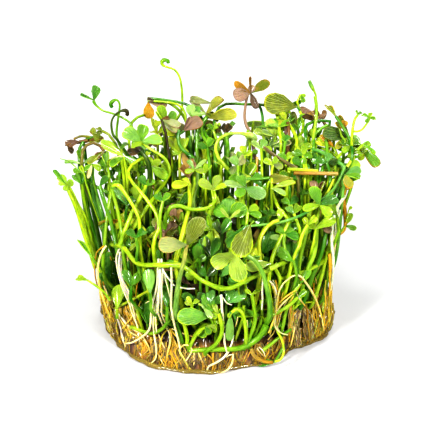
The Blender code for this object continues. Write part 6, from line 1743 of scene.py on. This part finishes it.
drawn_lines = [smooth_route(line[0], 40) for name, line in STEMS.items() if not name.startswith("hanging")]
for rows in DRAWN_FRONDS.values():
    drawn_lines += [smooth_route([at(*place) for place in row[6]], 16) for row in rows if len(row[6]) > 2]
drawn_places = on_sheet(np.concatenate(drawn_lines))

# Where white shows between the stems: across, up and radius on the sheet.
CLEAR_GAPS = np.array((
    (3.6, 49.2, 1.6), (5.4, 43.5, 2.3), (4.9, 48.0, 1.8), (8.9, 50.5, 1.4), (-18.4, 48.5, 1.3),
    (4.4, 43.8, 1.3), (5.4, 51.0, 1.2), (-31.6, 41.8, 1.0),
    (-11.1, 52.0, 1.0), (6.1, 44.2, 1.0), (-36.6, 40.0, 1.0), (-23.9, 48.2, 0.9), (-16.9, 49.2, 0.8),
    (-28.1, 44.8, 0.8), (-26.1, 36.8, 0.8), (8.4, 48.8, 0.7), (-23.9, 45.0, 0.7), (31.9, 39.0, 0.7),
    (-29.6, 33.8, 0.7), (2.9, 48.8, 0.6), (-32.9, 40.8, 0.6), (0.1, 35.2, 0.6), (-28.9, 33.0, 0.6),
))


def hides(places, reach):
    """Whether something at these places, as wide as reach, hides a drawn stem or fills a clear gap."""
    for across, up, depth in on_sheet(places):
        from_gaps = np.hypot(CLEAR_GAPS[:, 0] - across, CLEAR_GAPS[:, 1] - up)
        if (from_gaps < CLEAR_GAPS[:, 2] + reach * 0.5).any():
            return True
        near = np.hypot(drawn_places[:, 0] - across, drawn_places[:, 1] - up) < reach
        if (near & (drawn_places[:, 2] > depth - 0.5)).any():
            return True
    return False

# %% [markdown]
# ## How a small frond is made
#
# A small frond has a thin stalk that sways and a blade of one to four leaflets. Its height follows
# the canopy, a low dome that rises towards the back. Each group has its own heights and greens.

# %% Colours of the small fronds
grow = np.random.default_rng(2024)
GREENS = ("green", "green", "fresh", "fresh", "lime", "lime", "yellow", "gloss green", "deep", "deep",
          "mint", "olive")
OLD_LEAVES = ("olive", "pale olive", "brown", "purple brown", "dull olive", "orange", "tan")
DARK_LEAVES = ("deep", "night", "green", "deep", "blue green")
STALK_COLOURS = (("green", "fresh"), ("fresh", "lime"), ("deep", "green"), ("green", "lime"),
                 ("deep", "green"))

# %% One small frond
CANOPY_HEIGHT = 37


def canopy(x, y):
    """How high the small fronds stand over this place of the mat."""
    rise = 0.25 * y if y > 0 else 0.05 * y
    dome = CANOPY_HEIGHT - 0.005 * (x * x + y * y)
    return dome + rise + 2.0 * math.sin(0.21 * x + 1) + 1.5 * math.cos(0.3 * y - 0.5)


def small_frond(stems, leaves, foot, top, thick, colours, leaf_size, palette, bow=2.3):
    """One small frond, unless it would hide a drawn stem. It says whether it was grown."""
    foot, top = np.array(foot, float), np.array(top, float) + grow.normal(0, 1.8, 3) * (1, 1, 0)
    sway = grow.normal(0, bow, 3) * (1, 1, 0.2)
    route = [foot, foot * 0.65 + top * 0.35 + sway * 0.6, foot * 0.3 + top * 0.7 + sway, top]
    if hides([top], leaf_size * 0.75) or hides(smooth_route(route, 7), thick * 0.9):
        return False
    lay_stem(stems, route, [thick / 2, thick / 2, thick / 2 * 0.6], *colours, sides=6, rings=11)
    away = np.array((top[0], top[1], 0)) / max(np.hypot(top[0], top[1]), 1)
    facing = away * grow.uniform(0.1, 0.8) + np.array((0, -0.2, 0.7)) + grow.normal(0, 0.6, 3)
    start = grow.uniform(0, 90)
    shade, rim = palette[grow.integers(len(palette))], palette[grow.integers(len(palette))]
    blade = []
    for index in range(grow.integers(1, 5)):
        long = leaf_size * grow.uniform(0.8, 1.15)
        turn = start + 90 * index + grow.normal(0, 14)
        blade.append((turn, long, long * grow.uniform(0.6, 0.95), shade, rim, grow.uniform(5, 68)))
    lift, droop = grow.uniform(-10, 55), grow.uniform(-30, 80)
    wave, cup = grow.uniform(0.4, 1.8), grow.uniform(0, 0.6)
    lay_blade(leaves, top, facing, blade, lift=lift, card=(4, 4), droop=droop, wave=wave, cup=cup)
    return True

# %% Grow the small fronds
small_stems, small_leaves = Sheaf(), Sheaf()
TRIES_ALL_OVER, TRIES_BEHIND, TRIES_LOW, TRIES_IN_SHADE, RING_PLACES = 300, 170, 150, 420, 96
fronds_grown = 0
# All over the mat, up to the canopy.
for _ in range(TRIES_ALL_OVER):
    angle = grow.uniform(0, 2 * math.pi)
    radius = 25 * math.sqrt(grow.uniform(0.02, 0.95))
    x, y = radius * math.cos(angle), radius * math.sin(angle)
    height = canopy(x, y) - abs(grow.normal(0, 5))
    lean = grow.uniform(1.0, 1.12)
    palette = OLD_LEAVES if grow.uniform() < 0.14 else GREENS
    fronds_grown += small_frond(
        small_stems, small_leaves, (x, y, 6), (x * lean, y * lean, height), grow.uniform(0.8, 1.3),
        STALK_COLOURS[grow.integers(5)], grow.uniform(3.6, 6.2), palette)
# More behind the middle, where the clump is tallest.
for _ in range(TRIES_BEHIND):
    x, y = grow.uniform(-25, 25), grow.uniform(-2, 24)
    if np.hypot(x, y) > 26:
        continue
    lean = grow.uniform(1.0, 1.12)
    palette = OLD_LEAVES if grow.uniform() < 0.2 else GREENS
    height = canopy(x, y) + grow.uniform(-6, 3)
    fronds_grown += small_frond(
        small_stems, small_leaves, (x, y, 6), (x * lean, y * lean, height), grow.uniform(0.8, 1.2),
        STALK_COLOURS[grow.integers(5)], grow.uniform(3.2, 5.4), palette)
# Low dark ones near the edge of the mat.
for _ in range(TRIES_LOW):
    angle = grow.uniform(0, 2 * math.pi)
    radius = grow.uniform(17, 25)
    x, y = radius * math.cos(angle), radius * math.sin(angle)
    palette = OLD_LEAVES if grow.uniform() < 0.15 else DARK_LEAVES
    fronds_grown += small_frond(
        small_stems, small_leaves, (x, y, 5), (x * 1.06, y * 1.06, grow.uniform(9, 27)),
        grow.uniform(0.6, 1.1), STALK_COLOURS[grow.choice((0, 2))], grow.uniform(3.8, 6.5), palette)
# Dark broad leaves in the shade under the canopy.
for _ in range(TRIES_IN_SHADE):
    x, y = grow.uniform(-24, 24), grow.uniform(-4, 24)
    if np.hypot(x, y) > 25:
        continue
    palette = OLD_LEAVES if grow.uniform() < 0.1 else DARK_LEAVES + GREENS[:5]
    fronds_grown += small_frond(
        small_stems, small_leaves, (x, y, 6), (x * 1.08, y * 1.08, grow.uniform(17, canopy(x, y) - 2)),
        grow.uniform(0.6, 0.9), STALK_COLOURS[grow.choice((0, 2))], grow.uniform(4.2, 7), palette)

# %% [markdown]
# ## The ring of upright stalks
#
# The cup's wall pressed the outer stalks upright. They stand in even steps round the edge with a
# little stray, and fewer of them in front, where the drawn ones stand.

# %% Grow the ring of upright stalks
for index in range(RING_PLACES):
    angle = 2 * math.pi * index / RING_PLACES + grow.normal(0, 0.04)
    in_front = -2.25 < angle - 2 * math.pi < -1.05
    if in_front and grow.uniform() < 0.7:
        continue
    radius = grow.uniform(22.5, 26.8)
    x, y = radius * math.cos(angle), radius * math.sin(angle)
    lean = grow.uniform(1.03, 1.13)
    fronds_grown += small_frond(
        small_stems, small_leaves, (x, y, 5), (x * lean, y * lean, grow.uniform(24, 35)),
        grow.uniform(0.9, 1.5), STALK_COLOURS[grow.integers(5)], grow.uniform(2.8, 4.6), GREENS, bow=1.6)
small_stems.make("small_stalks", "small_fronds", "inner_fronds", finish_name="green_stem")
small_leaves.make("small_leaves", "small_fronds", "inner_fronds")
print("small fronds grown:", fronds_grown)

# %% [markdown]
# ## The dark heart
#
# Deep between the stalks lies shade that no light reaches. One lumpy dark body stands there, well
# inside the leaves, and paints that shade in the near-black colours of old wet litter, so that the
# gaps between the stalks go dark as they do on the real plant.

# %% Model the dark heart
bpy.ops.object.select_all(action="DESELECT")
bpy.ops.mesh.primitive_uv_sphere_add(segments=56, ring_count=28, radius=1)
heart = bpy.context.object
heart.name = "painted_shade_heart"
heart_points = np.array([vertex.co for vertex in heart.data.vertices])
lumps = 1 + 0.09 * np.sin(heart_points[:, 0] * 11 + 3 * heart_points[:, 2]) * np.cos(heart_points[:, 1] * 9)
lumps += 0.06 * np.sin(heart_points[:, 2] * 17 + heart_points[:, 1] * 5)
HEART_SIZE, HEART_MIDDLE = (19.5, 19.5, 12.5), 16.5
heart_points *= lumps[:, None] * np.array(HEART_SIZE)
heart_points[:, 2] += HEART_MIDDLE
heart.data.vertices.foreach_set("co", (heart_points * MM).ravel())
bpy.ops.object.shade_smooth()
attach(heart, "root")
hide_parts("inner_fronds")
# Painted shade: the heart wears the near-black litter finish.
heart.data.materials.append(litter_and_shade_finish())
print("dark heart points:", len(heart_points))

# %% [markdown]
# ## Roots on the mat
#
# Fresh roots are white, older ones amber and tan. They leave the stalks in brooms a little above the
# mat, spread as they run down its wall, cross, and turn along the foot where the cup stopped them.

# %% Lay the roots down the wall
ROOT_HEIGHTS, ROOT_DEPTHS = (0, 1, 5, 8, 14), (-0.55, -0.35, -0.5, -1.3, -2.2)


def wall_radius(height, turn):
    """How far out a root lies on the mat's wall, and on the stalks above it."""
    wall = MAT_RADIUS + np.interp(height, ROOT_HEIGHTS, ROOT_DEPTHS)
    return wall + foot_shift((turn + math.pi) % (2 * math.pi) - math.pi, height)


def lay_broom(sheaf, angle, top, spread, count, colours, thick):
    """Roots that leave one place above the mat and spread down its wall."""
    for _ in range(count):
        foot_turn = angle + root_seed.normal(0, spread)
        bend = root_seed.normal(0, 0.03)
        low = root_seed.uniform(0.3, 1.6)
        proud = root_seed.uniform(-0.25, 0.35)
        places = []
        for share in (0, 0.25, 0.5, 0.75, 1):
            height = top * (1 - share) + low * share
            turn = angle + (foot_turn - angle) * share**1.4 + bend * math.sin(share * 5)
            turn += root_seed.normal(0, 0.005)
            out = wall_radius(height, turn) + proud * share
            places.append((out * math.cos(turn), out * math.sin(turn), height))
        colour = colours[root_seed.integers(len(colours))]
        size = thick * root_seed.uniform(0.6, 1.25)
        lay_stem(sheaf, places, [size * 0.4, size * 0.5, size * 0.3], mixed(colour, "cream", 0.12), colour,
                 sides=5, rings=12)


FELT_ROOTS = ("purple brown", "brown", "amber", "purple brown", "brown", "tan", "amber")
BRIGHT_ROOTS = ("amber", "honey", "brown", "orange", "amber", "tan", "yellow rim")
FELT_BROOMS, BRIGHT_BROOMS = 70, 44
felt_roots, bright_roots = Sheaf(), Sheaf()
for index in range(FELT_BROOMS):
    angle = 2 * math.pi * (index + root_seed.uniform(-0.4, 0.4)) / FELT_BROOMS
    lay_broom(felt_roots, angle, root_seed.uniform(5, 8.2), 0.04, 11, FELT_ROOTS, 0.4)
for index in range(BRIGHT_BROOMS):
    angle = 2 * math.pi * (index + root_seed.uniform(-0.4, 0.4)) / BRIGHT_BROOMS
    top, count = root_seed.uniform(5, 9), int(root_seed.integers(2, 6))
    lay_broom(bright_roots, angle, top, 0.08, count, BRIGHT_ROOTS, 0.45)
felt_roots.make("felt_roots", "root_mat", "root_mat", finish_name="amber_root")
bright_roots.make("bright_roots", "amber_root", "root_mat")

# %% [markdown]
# ## Combed tufts
#
# In places the fine roots lie side by side like combed hair, brown in the shade and golden where the
# light comes through. Each tuft is drawn by its first and its last root, and the ones between are
# spread evenly from the one to the other, with a little stray.

# %% Comb the tufts
TUFTS = (
    (14, 0.45, ("amber", "amber", "tan", "honey"),
     ((-29.1, 6.8, 1.9), (-28.6, 4.2, -1.7), (-27.6, 1.2, -8.5), (-26.6, -1.2, -12.1)),
     ((-27.4, 6.8, -8.5), (-26.6, 4.2, -10.9), (-25.4, 1.2, -13.6), (-24.6, -1.2, -15.6))),
    (20, 0.34, ("purple brown", "brown", "brown", "tan", "honey"),
     ((-28.4, -0.2, -5.7), (-28.1, -2, -7.2), (-27.4, -4, -9), (-26.4, -5.2, -12.1)),
     ((-26.1, 1, -12.3), (-25.1, -1.2, -14.9), (-24.9, -3.8, -15.8), (-24.6, -6.5, -16.2))),
    (30, 0.42, ("amber", "honey", "amber", "tan", "brown"),
     ((-25.6, 2.2, -12.9), (-24.6, -0.8, -15.4), (-23.1, -4, -18.4), (-21.6, -8.2, -20)),
     ((-22.4, 2.8, -17.8), (-21.1, -0.2, -19.5), (-19.1, -3.5, -21.8), (-17.9, -8, -23.4))),
    (12, 0.4, ("yellow rim", "honey", "tan", "amber"),
     ((-22.9, -4.8, -19), (-22.4, -7, -19.5), (-21.1, -8.8, -20.8)),
     ((-20.1, -4.5, -21.5), (-19.1, -6.5, -22.7), (-18.6, -9, -23))),
    (16, 0.38, ("brown", "purple brown", "amber", "honey", "tan"),
     ((-16.9, -7, -24.3), (-17.1, -9.5, -24.1), (-17.4, -11.2, -23.6)),
     ((-12.9, -6.2, -26.1), (-12.4, -8.8, -26.7), (-11.9, -12.2, -26.8))),
    (34, 0.34, ("purple brown", "brown", "brown", "black brown", "amber", "tan"),
     ((-11.6, -7.8, -26.8), (-12.4, -10.2, -26.7), (-12.9, -12.8, -26.1)),
     ((-2.9, -8, -28.8), (-2.4, -10.8, -29.1), (-1.9, -13.5, -29))),
    (36, 0.25, ("brown", "purple brown", "tan", "pink tan", "purple brown", "cream"),
     ((20.1, 2.2, -20.2), (18.9, -0.2, -21.7), (18.4, -3.8, -22.5), (18.6, -7.5, -23)),
     ((21.1, 2, -19.6), (20.4, -0.8, -20.7), (20.6, -4.2, -21.2), (20.9, -7, -21.1))),
    (40, 0.25, ("brown", "purple brown", "pink tan", "purple brown", "amber", "cream"),
     ((21.1, 2.2, -19.5), (21.4, -0.2, -19.8), (21.6, -3.2, -20), (21.9, -6.2, -20.1)),
     ((21.9, 2.5, -18.7), (23.4, 1, -17.3), (23.9, -2, -17.2), (24.1, -5.2, -17.3))),
    (40, 0.3, ("honey", "amber", "amber", "brown", "tan"),
     ((23.6, 4.2, -15.6), (24.1, 1.2, -15.4), (24.4, -2, -16.1), (24.6, -5.2, -16.1)),
     ((27.6, 6.8, -5.6), (27.9, 3, -6.7), (27.6, -0.2, -9.2), (26.9, -3.2, -11.3))),
    (10, 0.3, ("amber", "honey", "amber", "tan"),
     ((18.1, 3, -22.3), (17.9, -0.8, -22.6), (17.6, -4, -22.8), (17.9, -7.2, -22.4)),
     ((19.4, 1.2, -21.5), (18.9, -2, -22), (18.4, -4.6, -22.3), (18.9, -7.2, -21.8))),
)
tuft_seed = np.random.default_rng(5)


def lay_tuft(sheaf, count, thick, colours, first, last):
    edges = [smooth_route([at(*place) for place in edge], 9) for edge in (first, last)]
    for index in range(count):
        share = (index + tuft_seed.uniform(-0.6, 0.6)) / (count - 1)
        route = edges[0] * (1 - share) + edges[1] * share + tuft_seed.normal(0, 0.16, (9, 3))
        route[:, 2] = np.maximum(route[:, 2], 0.4)
        colour = colours[tuft_seed.integers(len(colours))]
        size = thick * tuft_seed.uniform(0.6, 1.3)
        lay_stem(sheaf, route, [size * 0.4, size * 0.5, size * 0.35], mixed(colour, "cream", 0.06), colour,
                 sides=5, rings=14)


tufts = Sheaf()
for tuft in TUFTS:
    lay_tuft(tufts, *tuft)
tufts.make("combed_tufts", "amber_root", "root_mat")

# %% [markdown]
# ## The gel foot
#
# The plant was raised on a clear gel. A thin golden skin of it still rims the foot of the mat. It is
# a ring with an uneven edge, and it lets some light through.

# %% Model the gel foot
bpy.ops.object.select_all(action="DESELECT")
bpy.ops.mesh.primitive_torus_add(major_segments=200, minor_segments=10, major_radius=(MAT_RADIUS - 0.35) * MM,
                                 minor_radius=0.8 * MM)
gel = bpy.context.object
gel.name = "gel_foot"
gel_points = np.array([vertex.co for vertex in gel.data.vertices]) / MM
turn = np.arctan2(gel_points[:, 1], gel_points[:, 0])
uneven = 0.25 * np.sin(turn * 11) + 0.2 * np.sin(turn * 27 + 1) + 0.12 * np.sin(turn * 61)
uneven = uneven + foot_shift(turn, 0)
gel_points[:, :2] *= (1 + uneven / MAT_RADIUS)[:, None]
gel_points[:, 2] = 0.6 + gel_points[:, 2] * (0.58 + 0.15 * np.sin(turn * 17))
gel.data.vertices.foreach_set("co", (gel_points * MM).ravel())
bpy.ops.object.shade_smooth()
gel_look, gel_tree, gel_shader = new_finish("golden gel", 0.15, 0.6, 0.0)
gel_shader.inputs["Base Color"].default_value = (0.55, 0.42, 0.1, 1)
gel_shader.inputs["Transmission Weight"].default_value = 0.7
gel_place = node(gel_tree, "TexCoord").outputs["Object"]
gel_noise = noise(gel_tree, gel_place, 300.0)
gel_bump = node(gel_tree, "Bump", {"Height": gel_noise, "Strength": 0.6, "Distance": 0.0004})
gel_tree.links.new(gel_bump.outputs["Normal"], gel_shader.inputs["Normal"])
gel.data.materials.append(gel_look)
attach(gel, "root")
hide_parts("root_mat")
gel_low, gel_high = gel_points[:, 2].min(), gel_points[:, 2].max()
print("gel lies from", round(float(gel_low), 2), "to", round(float(gel_high), 2), "mm")
